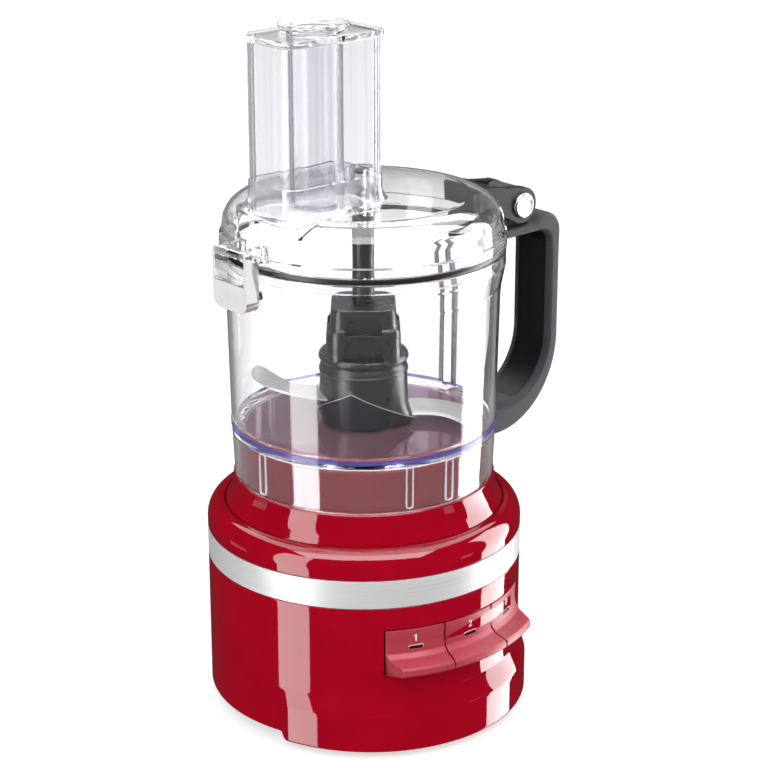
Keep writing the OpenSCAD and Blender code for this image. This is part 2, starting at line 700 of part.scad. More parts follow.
module large_pusher() color(clear) at_tube() difference() {
    d = tube_t + pusher_gap;
    union() {
        difference() {
            union() {
                translate([0, 0, tube_z + 2]) linear_extrude(tube_top_z - tube_z - 1)
                    polygon(tube_plan(d));
                translate([0, 0, tube_top_z]) linear_extrude(flange_t) polygon(tube_plan(-2));
            }
            translate([0, 0, tube_z]) linear_extrude(tube_top_z - tube_z)
                polygon(tube_plan(d + pusher_t));
        }
        translate([pusher_x, 0, 0]) disc(bore_r + 1.6, tube_z + 2, tube_top_z + 1);
    }
    translate([pusher_x, 0, 0]) disc(bore_r, tube_z, tube_top_z + 10);
}

module small_pusher() color(clear) at_tube() translate([pusher_x, 0, 0]) rotate_extrude()
    polygon([[0, tube_z + 2], [cup_r, tube_z + 2], [cup_r, tube_top_z + flange_t + gap],
        [cup_ring_r, tube_top_z + flange_t + gap], [cup_ring_r, small_top_z - 0.6],
        [cup_ring_r - 0.6, small_top_z], [cup_ring_r - 1.6, small_top_z],
        [cup_r + 2, small_top_z - 2.4], [cup_r - 1.6, small_top_z - 3.4],
        [cup_r - 1.6, tube_z + 4], [0, tube_z + 4]]);

lower_housing();
shoulder_ring();
top_cover();
trim_band();
base_plate();
rubber_feet();
housing_screws();
chassis_plate();
spindle_housing();
spindle_bearings();
spindle_seal();
motor_frame();
motor_stator();
motor_windings();
motor_bearings();
brush_holders();
drive_belt();
control_board();
lever_frame();
lever_pins();
lever_switches();
lever_spring_1();
lever_spring_2();
lever_spring_0();
bowl_switch();
cord_inlet();
lever_1();
lever_light_1();
lever_2();
lever_light_2();
lever_0();
lever_light_0();
drive_spindle();
drive_pulley();
drive_dog();
motor_shaft();
armature();
commutator();
cooling_fan();
motor_pulley();
bowl();
handle();
handle_grip();
handle_screw();
hinge_pin();
hinge_caps();
drive_adapter();
blade_hub();
upper_blade();
lower_blade();
lid();
feed_tube();
lid_seal();
lid_hinge();
latch_pin();
latch_clip();
large_pusher();
small_pusher();
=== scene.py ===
# Looks of a food processor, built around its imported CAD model.
# Lengths in the shape tables are in millimetres; put() turns them into metres.
import math

import bmesh
import bpy
from mathutils import Matrix, Vector


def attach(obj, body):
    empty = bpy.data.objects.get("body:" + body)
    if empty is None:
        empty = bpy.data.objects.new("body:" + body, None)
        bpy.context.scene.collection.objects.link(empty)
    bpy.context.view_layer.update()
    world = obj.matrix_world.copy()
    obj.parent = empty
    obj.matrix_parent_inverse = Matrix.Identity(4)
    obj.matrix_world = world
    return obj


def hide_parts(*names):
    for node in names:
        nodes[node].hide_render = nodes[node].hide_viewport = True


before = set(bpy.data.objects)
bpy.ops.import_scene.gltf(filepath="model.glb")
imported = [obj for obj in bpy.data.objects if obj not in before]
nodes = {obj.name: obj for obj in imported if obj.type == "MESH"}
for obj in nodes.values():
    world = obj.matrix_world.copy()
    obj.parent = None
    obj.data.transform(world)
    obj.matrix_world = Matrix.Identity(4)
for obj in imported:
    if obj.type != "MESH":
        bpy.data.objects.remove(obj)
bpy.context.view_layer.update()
scene = bpy.context.scene
MM = 0.001
TAU = 2 * math.pi
# Solids turned about the drive axis keep this far from it
AXIS = 0.01
# Direction from the drive axis to the camera, in degrees from +X
VIEW_BEARING = -130.7

# ---- shape helpers ----


def arc(cx, cy, rx, ry, start, end, steps=8):
    """Points on an ellipse between two angles in degrees."""
    points = []
    for i in range(steps + 1):
        a = math.radians(start + (end - start) * i / steps)
        points.append((cx + rx * math.cos(a), cy + ry * math.sin(a)))
    return points


def soften(points, closed=True, steps=4):
    """The outline with each corner that has a third number rounded to that radius."""
    out = []
    count = len(points)
    for i, p in enumerate(points):
        if len(p) < 3 or (not closed and i in (0, count - 1)):
            out.append((p[0], p[1]))
            continue
        here = Vector(p[:2])
        before = Vector(points[i - 1][:2]) - here
        after = Vector(points[(i + 1) % count][:2]) - here
        turn = before.angle(after)
        reach = p[2] / max(math.tan(turn / 2), 0.02)
        reach = min(reach, before.length * 0.48, after.length * 0.48)
        a = here + before.normalized() * reach
        b = here + after.normalized() * reach
        for k in range(steps + 1):
            t = k / steps
            q = a * (1 - t) ** 2 + here * 2 * t * (1 - t) + b * t * t
            out.append((q.x, q.y))
    return out


def put(name, verts, faces):
    """A mesh object in the scene, from points in millimetres."""
    mesh = bpy.data.meshes.new(name)
    mesh.from_pydata([Vector(v) * MM for v in verts], [], faces)
    bm = bmesh.new()
    bm.from_mesh(mesh)
    bmesh.ops.remove_doubles(bm, verts=bm.verts, dist=1e-7)
    bmesh.ops.dissolve_degenerate(bm, edges=bm.edges, dist=1e-8)
    bmesh.ops.recalc_face_normals(bm, faces=bm.faces)
    bm.to_mesh(mesh)
    bm.free()
    obj = bpy.data.objects.new(name, mesh)
    scene.collection.objects.link(obj)
    return obj


def grid(name, rows, wrap=False, loop=True, caps=False):
    """A mesh over rows of points. wrap joins the last row to the first, loop closes each row."""
    wide = len(rows[0])
    verts = [p for row in rows for p in row]
    faces = []
    for i in range(len(rows) if wrap else len(rows) - 1):
        j = (i + 1) % len(rows)
        for k in range(wide if loop else wide - 1):
            m = (k + 1) % wide
            faces.append((i * wide + k, i * wide + m, j * wide + m, j * wide + k))
    if caps:
        faces.append(tuple(range(wide)))
        faces.append(tuple((len(rows) - 1) * wide + k for k in reversed(range(wide))))
    return put(name, verts, faces)


def turned(r, z, a):
    """A point's radius and height placed at an angle about the drive axis, in radians."""
    return (r * math.cos(a), r * math.sin(a), z)


def lathe(name, outline, steps=192, closed=True):
    """The outline of (radius, height) points turned about the drive axis."""
    rows = []
    for i in range(steps):
        a = TAU * i / steps
        rows.append([turned(r, z, a) for r, z in outline])
    return grid(name, rows, wrap=True, loop=closed)


def plug(name, radius, low, high, steps=120):
    """A cylinder on the drive axis."""
    return lathe(name, [(AXIS, low), (radius, low), (radius, high), (AXIS, high)], steps)


def prism(name, outline, low, high, axis="z"):
    """A closed outline pushed along an axis. Along x the outline is (y, z), along y it is (x, z)."""
    place = {
        "z": lambda u, v, w: (u, v, w),
        "y": lambda u, v, w: (u, w, v),
        "x": lambda u, v, w: (w, u, v),
    }[axis]
    rows = [[place(u, v, w) for u, v in outline] for w in (low, high)]
    return grid(name, rows, caps=True)


def shift(obj, matrix):
    """Transforms the object's mesh."""
    obj.data.transform(matrix)
    return obj


def turn_z(obj, degrees):
    return shift(obj, Matrix.Rotation(math.radians(degrees), 4, "Z"))


def move(obj, x, y, z):
    return shift(obj, Matrix.Translation(Vector((x, y, z)) * MM))


def settle(obj):
    """Applies the object's modifiers to its mesh."""
    bpy.context.view_layer.update()
    result = obj.evaluated_get(bpy.context.evaluated_depsgraph_get())
    mesh = bpy.data.meshes.new_from_object(result)
    obj.modifiers.clear()
    obj.data = mesh
    return obj


def combine(obj, tools, operation):
    """Joins, cuts or intersects closed solids, and removes the tools."""
    for tool in tools:
        step = obj.modifiers.new("solid", "BOOLEAN")
        step.operation = operation
        step.solver = "EXACT"
        step.object = tool
    settle(obj)
    for tool in tools:
        bpy.data.objects.remove(tool)
    return obj


def cut(obj, *tools):
    return combine(obj, tools, "DIFFERENCE")


def weld(obj, *tools):
    return combine(obj, tools, "UNION")


def rounded(obj, width, angle=35, segments=3):
    """Rounds the sharp edges, in millimetres."""
    bevel = obj.modifiers.new("rounding", "BEVEL")
    bevel.width = width * MM
    bevel.segments = segments
    bevel.limit_method = "ANGLE"
    bevel.angle_limit = math.radians(angle)
    bevel.miter_outer = "MITER_ARC"
    return settle(obj)


def shade(obj, angle=32):
    """Smooths the piece between its sharp edges, and keeps its large faces flat."""
    obj.data.shade_smooth()
    obj.data.set_sharp_from_angle(angle=math.radians(angle))
    flat = obj.modifiers.new("flat_faces", "WEIGHTED_NORMAL")
    flat.keep_sharp = True
    flat.weight = 100
    return settle(obj)


def ready(obj, material, body, replaced=(), angle=32):
    """Gives a finished piece its shading, material and body, and hides the nodes it stands for."""
    shade(obj, angle)
    obj.data.materials.clear()
    obj.data.materials.append(material)
    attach(obj, body)
    if replaced:
        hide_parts(*replaced)
    return obj


# ---- materials ----

# Noise values mostly lie between these two
NOISE_LOW, NOISE_HIGH = 0.3, 0.7


def by_path(tree, test, first, second):
    """Shows the first shader where a light path value is 0 and the second where it is 1 or more."""
    path = tree.nodes.new("ShaderNodeLightPath")
    mix = tree.nodes.new("ShaderNodeMixShader")
    tree.links.new(path.outputs[test], mix.inputs[0])
    tree.links.new(first, mix.inputs[1])
    tree.links.new(second, mix.inputs[2])
    return mix.outputs[0]


class Shader:
    """A node material being built around one Principled shader."""

    def __init__(self, name, **values):
        self.material = bpy.data.materials.new(name)
        self.material.use_nodes = True
        self.tree = self.material.node_tree
        self.main = self.tree.nodes["Principled BSDF"]
        self.spot = self.add("ShaderNodeTexCoord").outputs["Object"]
        for key, value in values.items():
            self.main.inputs[key.replace("_", " ")].default_value = value

    def add(self, kind, **links):
        node = self.tree.nodes.new(kind)
        for key, value in links.items():
            socket = node.inputs[key.replace("_", " ")]
            if hasattr(value, "is_linked"):
                self.tree.links.new(value, socket)
            else:
                socket.default_value = value
        return node

    def link(self, source, target):
        self.tree.links.new(source, self.main.inputs[target])

    def stretched(self, scale):
        return self.add("ShaderNodeMapping", Vector=self.spot, Scale=scale).outputs["Vector"]

    def noise(self, scale, detail=3.0, vector=None):
        node = self.add("ShaderNodeTexNoise", Vector=vector or self.spot, Scale=scale, Detail=detail)
        return node.outputs["Fac"]

    def between(self, source, low, high):
        node = self.add("ShaderNodeMapRange", Value=source, From_Min=NOISE_LOW, From_Max=NOISE_HIGH,
                        To_Min=low, To_Max=high)
        return node.outputs["Result"]

    def tones(self, source, dark, light):
        ramp = self.add("ShaderNodeValToRGB", Fac=source)
        for stop, place, colour in zip(ramp.color_ramp.elements, (NOISE_LOW, NOISE_HIGH), (dark, light)):
            stop.position = place
            stop.color = (*colour, 1)
        self.link(ramp.outputs["Color"], "Base Color")

    def bump(self, source, strength, distance):
        node = self.add("ShaderNodeBump", Height=source, Strength=strength, Distance=distance)
        self.link(node.outputs["Normal"], "Normal")

    def unseen_by(self, test):
        """Makes the surface transparent where a light path value is 1 or more."""
        open_way = self.add("ShaderNodeBsdfTransparent").outputs[0]
        seen = by_path(self.tree, test, self.main.outputs[0], open_way)
        self.tree.links.new(seen, self.tree.nodes["Material Output"].inputs["Surface"])


def moulded(name, dark, light, rough, grain=900.0, depth=0.00002, **values):
    """Moulded plastic, paint or rubber: slightly uneven colour and gloss, with a fine grain."""
    s = Shader(name, **values)
    s.tones(s.noise(38.0), dark, light)
    s.link(s.between(s.noise(120.0, 4.0), rough[0], rough[1]), "Roughness")
    s.bump(s.noise(grain, 2.0), 0.35, depth)
    return s.material


def metal(name, dark, light, rough, scale, depth=0.00001, **values):
    """Metal with fine lines along the two axes where scale is small."""
    s = Shader(name, **{"Metallic": 1.0, **values})
    lines = s.noise(1.0, 3.0, s.stretched(scale))
    s.tones(lines, dark, light)
    s.link(s.between(lines, rough[0], rough[1]), "Roughness")
    s.bump(lines, 0.3, depth)
    return s.material


def clear(name, dark, light, rough=(0.0, 0.02), scale=(40.0, 40.0, 40.0), through=1.0, index=1.46):
    """Clear plastic that lets lamp light through, with a faint unevenness of its surface."""
    s = Shader(name, Transmission_Weight=through, IOR=index)
    s.tones(s.noise(1.0, 3.0, s.stretched(scale)), dark, light)
    s.link(s.between(s.noise(25.0, 2.0), rough[0], rough[1]), "Roughness")
    s.bump(s.noise(14.0, 1.0), 0.06, 0.0003)
    s.unseen_by("Is Shadow Ray")
    return s.material


RED = moulded("red_gloss", (0.245, 0.0006, 0.0085), (0.275, 0.0008, 0.0105), (0.03, 0.05),
              60.0, 0.00003)
LEVER_RED = moulded("lever_satin_red", (0.29, 0.020, 0.036), (0.33, 0.024, 0.042), (0.36, 0.44),
                    1500.0)
CHARCOAL = moulded("charcoal_plastic", (0.034, 0.035, 0.039), (0.040, 0.041, 0.046), (0.46, 0.56),
                   1400.0, Specular_IOR_Level=0.2)
FORK = moulded("fork_plastic", (0.009, 0.0095, 0.011), (0.013, 0.0135, 0.015), (0.34, 0.44),
               1400.0, Specular_IOR_Level=0.3)
GRIP = moulded("soft_grip", (0.0025, 0.003, 0.0045), (0.004, 0.0045, 0.006), (0.40, 0.50),
               1100.0, Specular_IOR_Level=0.2)
BLACK = moulded("black_plastic", (0.007, 0.0075, 0.009), (0.013, 0.0138, 0.016), (0.30, 0.42),
                700.0)
HUB = moulded("hub_plastic", (0.017, 0.0182, 0.021), (0.022, 0.0235, 0.027), (0.26, 0.34),
              200.0, 0.0, Specular_IOR_Level=0.6)
GREY = moulded("grey_plastic", (0.055, 0.055, 0.058), (0.07, 0.07, 0.074), (0.45, 0.55),
               1200.0, 0.00004)
RUBBER = moulded("rubber", (0.012, 0.012, 0.013), (0.018, 0.018, 0.019), (0.6, 0.75),
                 1600.0, 0.00005)
# Partly painted shade: black rubber for the lid's seal, also standing in for the dark refracted band at the
# rim
SEAL_AND_SHADE = moulded("seal_rubber_and_shade", (0.010, 0.010, 0.012), (0.014, 0.014, 0.017), (0.3, 0.4),
               1200.0, 0.00003)
NYLON = moulded("white_nylon", (0.70, 0.69, 0.66), (0.78, 0.77, 0.74), (0.38, 0.46))
PALE = moulded("pale_print", (0.72, 0.66, 0.66), (0.80, 0.74, 0.74), (0.4, 0.5), 1500.0, 0.00001)
LENS = moulded("dark_lens", (0.030, 0.004, 0.006), (0.040, 0.006, 0.008), (0.08, 0.14))
BOARD = moulded("circuit_board", (0.01, 0.09, 0.035), (0.015, 0.12, 0.045), (0.3, 0.4))
BAND = metal("brushed_band", (0.50, 0.50, 0.505), (0.62, 0.62, 0.625), (0.36, 0.46),
             (14.0, 14.0, 4200.0), Metallic=0.35)
STEEL = metal("zinc_steel", (0.55, 0.55, 0.56), (0.68, 0.68, 0.69), (0.26, 0.40),
              (300.0, 300.0, 300.0))
CAST = metal("cast_alloy", (0.45, 0.45, 0.46), (0.55, 0.55, 0.56), (0.45, 0.6),
             (700.0, 700.0, 700.0), 0.00005)
BEARING = metal("bearing_steel", (0.62, 0.62, 0.63), (0.72, 0.72, 0.73), (0.12, 0.22),
                (60.0, 60.0, 900.0))
IRON = metal("motor_iron", (0.14, 0.14, 0.15), (0.20, 0.20, 0.21), (0.4, 0.55),
             (40.0, 40.0, 2000.0))
COPPER = metal("copper", (0.60, 0.26, 0.14), (0.74, 0.36, 0.20), (0.22, 0.34),
               (1400.0, 1400.0, 30.0))
BRASS = metal("brass", (0.62, 0.47, 0.20), (0.72, 0.56, 0.27), (0.2, 0.32), (200.0, 200.0, 200.0))
CAP = metal("satin_cap", (0.66, 0.66, 0.67), (0.76, 0.76, 0.77), (0.22, 0.32),
            (260.0, 2600.0, 260.0))
BLADE = metal("blade_steel", (0.60, 0.60, 0.605), (0.70, 0.70, 0.705), (0.36, 0.48),
              (900.0, 120.0, 120.0), Metallic=0.6)
CHROME = metal("latch_chrome", (0.74, 0.74, 0.75), (0.82, 0.82, 0.83), (0.04, 0.09),
               (80.0, 80.0, 80.0), 0.000003, Metallic=0.8)
CLEAR = clear("clear_plastic", (0.975, 0.975, 0.985), (0.99, 0.99, 1.0))
TUBE = clear("streaked_clear", (0.925, 0.925, 0.938), (0.985, 0.985, 0.992), (0.0, 0.03),
             (420.0, 420.0, 4.0), index=1.25)
HAZE = clear("hazy_clear", (0.965, 0.965, 0.975), (0.99, 0.99, 1.0), (0.13, 0.2),
             (90.0, 90.0, 30.0))
# Painted highlight: a paler, less clear plastic for the white lines round the skirt's slots
SLOT_HIGHLIGHT = clear("slot_painted_highlight", (0.93, 0.92, 0.94), (0.97, 0.96, 0.98), (0.1, 0.2),
             (90.0, 90.0, 30.0), through=0.65)
VEIL = clear("veiled_skirt", (0.86, 0.70, 0.75), (0.93, 0.78, 0.82), (0.0, 0.01),
             (30.0, 30.0, 60.0), through=0.97)
FROST = clear("frosted_floor", (0.72, 0.61, 0.75), (0.82, 0.71, 0.85), (0.0, 0.01),
              (30.0, 30.0, 30.0), through=0.93)
VIOLET = clear("violet_edge", (0.16, 0.15, 0.50), (0.24, 0.22, 0.60), (0.1, 0.2),
               (30.0, 30.0, 30.0), through=0.75)
# Painted shade: a dark, half-clear plastic for the strips that stand in for the dark edges of the bowl's rib
RIB_SHADE = clear("rib_painted_shade", (0.24, 0.24, 0.27), (0.36, 0.36, 0.40), (0.1, 0.2),
               (30.0, 30.0, 30.0), through=0.85)

# ---- base shells ----

BASE_R, BASE_Z = 92.8, 8.5
# Direction of the front, in degrees from +X
FRONT = -90.0
# Angle from the front to the skirt's ends, and how far the skirt is moved forward
SKIRT_HALF, SKIRT_SHIFT = 71.0, 6.4
# Heights of the skirt's lower edge, of its straight part's end, of its full reach and of its top
SKIRT_LOW, SKIRT_STRAIGHT, SKIRT_FULL, SKIRT_TOP = 4.3, 25.6, 26.5, 37.5
# Lever window: its lower and upper edge, and the angle from its middle to its ends
WINDOW_LOW, WINDOW_HIGH, WINDOW_HALF = 49.7, 78.9, 33.9


def ease(t):
    """A smooth step from 0 to 1."""
    t = min(1.0, max(0.0, t))
    return t * t * (3 - 2 * t)


def lever_window():
    """The solid that cuts the lever window. Its outline is in degrees and heights."""
    corner = 1.0
    outline = soften([(-WINDOW_HALF, WINDOW_LOW, corner), (WINDOW_HALF, WINDOW_LOW, corner),
                      (WINDOW_HALF, WINDOW_HIGH, corner), (-WINDOW_HALF, WINDOW_HIGH, corner)])
    fine = []
    for (a0, z0), (a1, z1) in zip(outline, outline[1:] + outline[:1]):
        count = max(1, int(abs(a1 - a0) / 2))
        fine += [(a0 + (a1 - a0) * k / count, z0 + (z1 - z0) * k / count) for k in range(count)]
    rows = [[turned(r, z, math.radians(a + FRONT)) for a, z in fine] for r in (84.0, 97.0)]
    return grid("window_tool", rows, caps=True)


def base_shell():
    """The lower housing: its front skirt is the same circle moved forward."""
    shares = [0, 0.02, 0.05, 0.2, 0.4, 0.6, 0.8, 0.95]
    bend = [SKIRT_FULL, 27.1, 27.8, 28.6, 30, 32, 34, 35.4, 36.2, 36.9, SKIRT_TOP]
    walls = [44, 49, 56, 64, 72, 79, 86, 91.2]
    rows = []
    steps = 288
    for i in range(steps):
        a = 360 * (i + 0.5) / steps - 180
        inside = ease((SKIRT_HALF - abs(a)) / 2.6 + 0.5)
        front = SKIRT_SHIFT * math.cos(math.radians(a))
        side = SKIRT_SHIFT * math.sin(math.radians(a))
        reach = inside * (front + math.sqrt(BASE_R ** 2 - side ** 2) - BASE_R)
        low = BASE_Z + inside * (SKIRT_LOW - BASE_Z)
        outline = [(BASE_R - 1.0 + reach, low), (BASE_R - 0.3 + reach, low + 0.3)]
        for share in shares:
            outline.append((BASE_R + reach, low + 1 + share * (SKIRT_STRAIGHT - low - 1)))
        for z in bend:
            t = (z - SKIRT_FULL) / (SKIRT_TOP - SKIRT_FULL)
            outline.append((BASE_R + reach * (1 - 0.75 * t - 0.25 * ease(t)), z))
        outline += [(BASE_R, z) for z in walls]
        outline += [(BASE_R - 0.12, 91.7), (BASE_R - 0.4, 91.95), (BASE_R - 0.9, 92.0),
                    (91.0, 92.0), (91.0, 108.8), (88.6, 108.8), (88.6, 89.0), (90.2, 86.0),
                    (90.2, low)]
        t = math.radians(a + FRONT)
        rows.append([turned(r, z, t) for r, z in outline])
    shell = grid("base_shell", rows, wrap=True)
    cut(shell, lever_window())
    socket = prism("inlet_tool", arc(0, 22, 7.5, 7.5, 0, 360, 32)[:-1], 80, 100, "y")
    cut(shell, socket)
    return rounded(shell, 0.35, 50, 2)


ready(base_shell(), RED, "base", ["lower_housing"], 40)

shoulder = lathe("shoulder", soften(
    [(92.8, 109.2, 0.5)] + arc(83.2, 114, 9.6, 10.8, 0, 84, 18)
    + [(82.5, 124.8, 0.5), (82.5, 121.5), (84, 120.2), (88.9, 116), (89.8, 113), (84, 113),
       (84, 103), (88.2, 103), (88.2, 109.2)]), 240)
ready(shoulder, RED, "base", ["shoulder_ring"])

collar = lathe("collar_and_pedestal", soften(
    [(9, 167.7, 0.4), (69.4, 167.7)] + arc(69.4, 164.7, 3, 3, 86, 0, 6)
    + [(72.4, 142.2, 0.6), (76.8, 141.7, 0.9)] + arc(84.8, 141.7, 8, 16.7, 187, 226, 12)
    + [(81.9, 125.2, 0.8), (82.1, 121.2), (70, 121), (70, 123.6), (73.8, 127), (73.8, 139.1),
       (69.8, 139.1), (69.8, 165.1), (9, 165.1)]), 240)
ready(collar, RED, "base", ["top_cover"])

band = lathe("steel_band", soften(
    [(92.8, 92.2, 0.25), (92.8, 108.8, 0.25), (91.4, 108.8), (91.4, 92.2)]), 240)
ready(band, BAND, "base", ["trim_band"])

# ---- levers ----

# Angle between levers in degrees, and the gap between them
PITCH, GAP = 22.4, 1.1
# Numeral, body, angle from the front, and which end of the row it is
LEVERS = [("1", "speed_1_lever", -PITCH, -1), ("2", "speed_2_lever", 0.0, 0),
          ("0", "pulse_lever", PITCH, 1)]
LEVER_OUTLINE = soften([
    (93.0, 78, 0.6), (92.5, 69.5, 9), (93.4, 64.2, 3), (95.9, 61.6, 2.5), (103.5, 58.9, 1.0),
    (104.5, 57.6, 1.0), (104.5, 54.8, 1.0), (103.4, 53.6, 1.0), (94.0, 51, 1.5), (90.4, 51),
    (90.4, 78)], steps=5)


def lever_plate(label, body, turn, end):
    """A lever's face and finger shelf. The shelf of an end lever narrows towards its tip."""
    rows = []
    steps = 16
    for i in range(steps + 1):
        share = i / steps
        row = []
        for r, z in LEVER_OUTLINE:
            inset = [GAP / 2, GAP / 2]
            if end:
                reach = min(1.0, max(0.0, (r - 93.8) / 11.7))
                inset[0 if end < 0 else 1] = GAP / 2 + reach * 9.45
            low = -PITCH / 2 + math.degrees(math.asin(inset[0] / r))
            high = PITCH / 2 - math.degrees(math.asin(inset[1] / r))
            t = math.radians(FRONT + turn + low + (high - low) * share)
            row.append(turned(r, z, t))
        rows.append(row)
    plate = grid(f"lever_plate_{label}", rows, caps=True)
    slot_outline = soften([(-4.4, 65.7, 0.9), (4.4, 65.7, 0.9), (4.4, 67.9, 0.9), (-4.4, 67.9, 0.9)])
    tool = prism("slot_tool", slot_outline, -97, -92.0, "y")
    cut(plate, turn_z(tool, turn))
    rounded(plate, 0.45, 48, 3)
    return ready(plate, LEVER_RED, body, [f"lever_{label}"], 40)


NUMERAL_OUT, NUMERAL_Z, NUMERAL_HALF = 92.72, 72.4, 0.12
ONE = [(0.35, -2.1), (0.35, 2.1), (-0.25, 2.1), (-1.25, 1.35), (-0.95, 0.9), (-0.35, 1.3),
       (-0.35, -2.1)]


def lettering(name, body):
    """A numeral from the plain built-in font."""
    text = bpy.data.curves.new(name, "FONT")
    text.body = body
    text.size = 5.8 * MM
    text.align_x = "CENTER"
    text.align_y = "CENTER"
    text.extrude = NUMERAL_HALF * MM
    holder = bpy.data.objects.new("text_holder", text)
    scene.collection.objects.link(holder)
    bpy.context.view_layer.update()
    evaluated = holder.evaluated_get(bpy.context.evaluated_depsgraph_get())
    mesh = bpy.data.meshes.new_from_object(evaluated)
    bpy.data.objects.remove(holder)
    obj = bpy.data.objects.new(name, mesh)
    scene.collection.objects.link(obj)
    return obj


def numeral(label, body, turn):
    """A lever's numeral. The 1 has an outline of its own; the others come from the font."""
    name = f"numeral_{label}"
    obj = prism(name, ONE, -NUMERAL_HALF, NUMERAL_HALF) if label == "1" else lettering(name, label)
    shift(obj, Matrix.Rotation(math.radians(90), 4, "X"))
    move(obj, 0, -NUMERAL_OUT, NUMERAL_Z)
    return ready(turn_z(obj, turn), PALE, body)


def slot_frame(label, body, turn):
    """The pale line round a lever's light window, curved with the lever's face."""
    outer = soften([(-4.6, 65.5, 1.1), (4.6, 65.5, 1.1), (4.6, 68.1, 1.1), (-4.6, 68.1, 1.1)])
    inner = soften([(-4.3, 65.8, 0.9), (4.3, 65.8, 0.9), (4.3, 67.8, 0.9), (-4.3, 67.8, 0.9)])
    face, deep = 92.9, 0.5
    rows = []
    for (u0, v0), (u1, v1) in zip(outer, inner):
        out_y = -math.sqrt(face ** 2 - u0 ** 2)
        in_y = -math.sqrt(face ** 2 - u1 ** 2)
        rows.append([(u0, out_y + deep, v0), (u0, out_y, v0), (u1, in_y, v1), (u1, in_y + deep, v1)])
    ring = grid(f"slot_frame_{label}", rows, wrap=True)
    return ready(turn_z(ring, turn), PALE, body)


for label, body, turn, end in LEVERS:
    lever_plate(label, body, turn, end)
    numeral(label, body, turn)
    slot_frame(label, body, turn)

# ---- bowl ----

# The bowl's outer wall, from its lower edge to its rim
WALL = [(75.9, 142, 0.8), (77.2, 173), (78.4, 234), (78.7, 250), (79.3, 257, 12),
        (80.9, 265, 8), (81.6, 269, 6), (81.6, 277.2, 0.8)]
# Thickness of the wall and floor, and the height of the floor's underside
BOWL_T, FLOOR = 2.6, 168.6
# Slots on the bowl's skirt: angle and half width
SLOTS = [(-178.8, 2.8), (-111.3, 2.2), (-92, 2.8)]
SLOT_LOW, SLOT_HIGH = 144.5, 169.5
# Painted shade: dark strips along the bowl's rib, where its clear edges look dark. Name, angle, half the
# angle that each spans
RIB_EDGES = [("back", 10, 1.1), ("front", 2.2, 2.0)]
# Thin tinted rings inside the bowl's clear plastic: name, material, steps, outline
FILMS = [
    ("bowl_floor_edge", VIOLET, 240, [(77.22, 172.0), (77.52, 172.0), (77.60, 174.8), (77.30, 174.8)]),
    ("bowl_floor_film", FROST, 192, [(17, 171.6), (69.5, 171.6), (69.5, 171.9), (17, 171.9)]),
    ("bowl_skirt_film", VEIL, 192, [(72.9, 143), (73.6, 168.2), (73.75, 168.2), (73.05, 143)]),
]


def bowl():
    """The bowl with its latch lug, its hinge tab and the rib by the handle."""
    inner = [(81.6 - BOWL_T, 277.2, 0.6), (81.6 - BOWL_T, 269, 6), (80.9 - BOWL_T, 265, 8),
             (79.3 - BOWL_T, 257, 12), (78.7 - BOWL_T, 250), (78.4 - BOWL_T, 234),
             (77.2 - BOWL_T, FLOOR + BOWL_T + 4, 5), (77.2 - BOWL_T - 5, FLOOR + BOWL_T, 5),
             (15.8, FLOOR + BOWL_T, 2), (14.8, 180, 0.8), (12.2, 180, 0.8), (12.2, FLOOR, 0.8),
             (76.6 - BOWL_T, FLOOR, 1.2), (75.9 - BOWL_T, 142, 0.8)]
    body = lathe("bowl_shell", soften(WALL + inner, steps=5), 240)
    lug_outline = soften([(-9, 262.5, 2), (9, 262.5, 2), (9, 268, 2), (-9, 268, 2)])
    lug = prism("lug_tool", lug_outline, -83.0, -79.9, "x")
    tab_outline = soften([(80.4, -8.9), (94, -8.9, 3), (94, 8.9, 3), (80.4, 8.9)])
    tab = prism("tab_tool", tab_outline, 266.9, 269.5)
    rib = lathe("rib_tool", [(AXIS, 174), (4.2, 174), (3.6, 262), (AXIS, 262)], 40)
    weld(body, lug, tab, turn_z(move(rib, 76.6, 0, 0), 6))
    return body


def skirt_slot(name, angle, half):
    """The raised edge of a locking slot on the bowl's skirt, in a paler, less clear plastic: a painted
    highlight along the slot's edge.
    """
    low, high, edge = SLOT_LOW, SLOT_HIGH, 0.6
    outer = soften([(-half, low, 1.8), (half, low, 1.8), (half, high, 1.8), (-half, high, 1.8)])
    inner = soften([(-half + edge, low + edge, 1.3), (half - edge, low + edge, 1.3),
                    (half - edge, high - edge, 1.3), (-half + edge, high - edge, 1.3)])
    rows = []
    for (u0, v0), (u1, v1) in zip(outer, inner):
        rows.append([(76.2, u0, v0), (77.3, u0, v0), (77.3, u1, v1), (76.2, u1, v1)])
    return turn_z(grid(name, rows, wrap=True), angle)


ready(bowl(), CLEAR, "bowl_group", ["bowl"], 30)

for count, (angle, half) in enumerate(SLOTS):
    ready(skirt_slot(f"skirt_slot_{count + 1}", angle, half), SLOT_HIGHLIGHT, "bowl_group", ["bowl"])

for name, material, steps, outline in FILMS:
    ready(lathe(name, outline, steps), material, "bowl_group", ["bowl"])

# Each strip is painted shade along one edge of the rib
for word, angle, half in RIB_EDGES:
    a = math.radians(half)
    outline = [(75.6, 174), (75.9, 174), (76.4, 260), (76.1, 260)]
    rows = [[turned(r, z, t) for r, z in outline] for t in (-a, 0, a)]
    strip = turn_z(grid(f"rib_edge_{word}", rows, caps=True), angle)
    ready(strip, RIB_SHADE, "bowl_group", ["bowl"])

# ---- lid ----

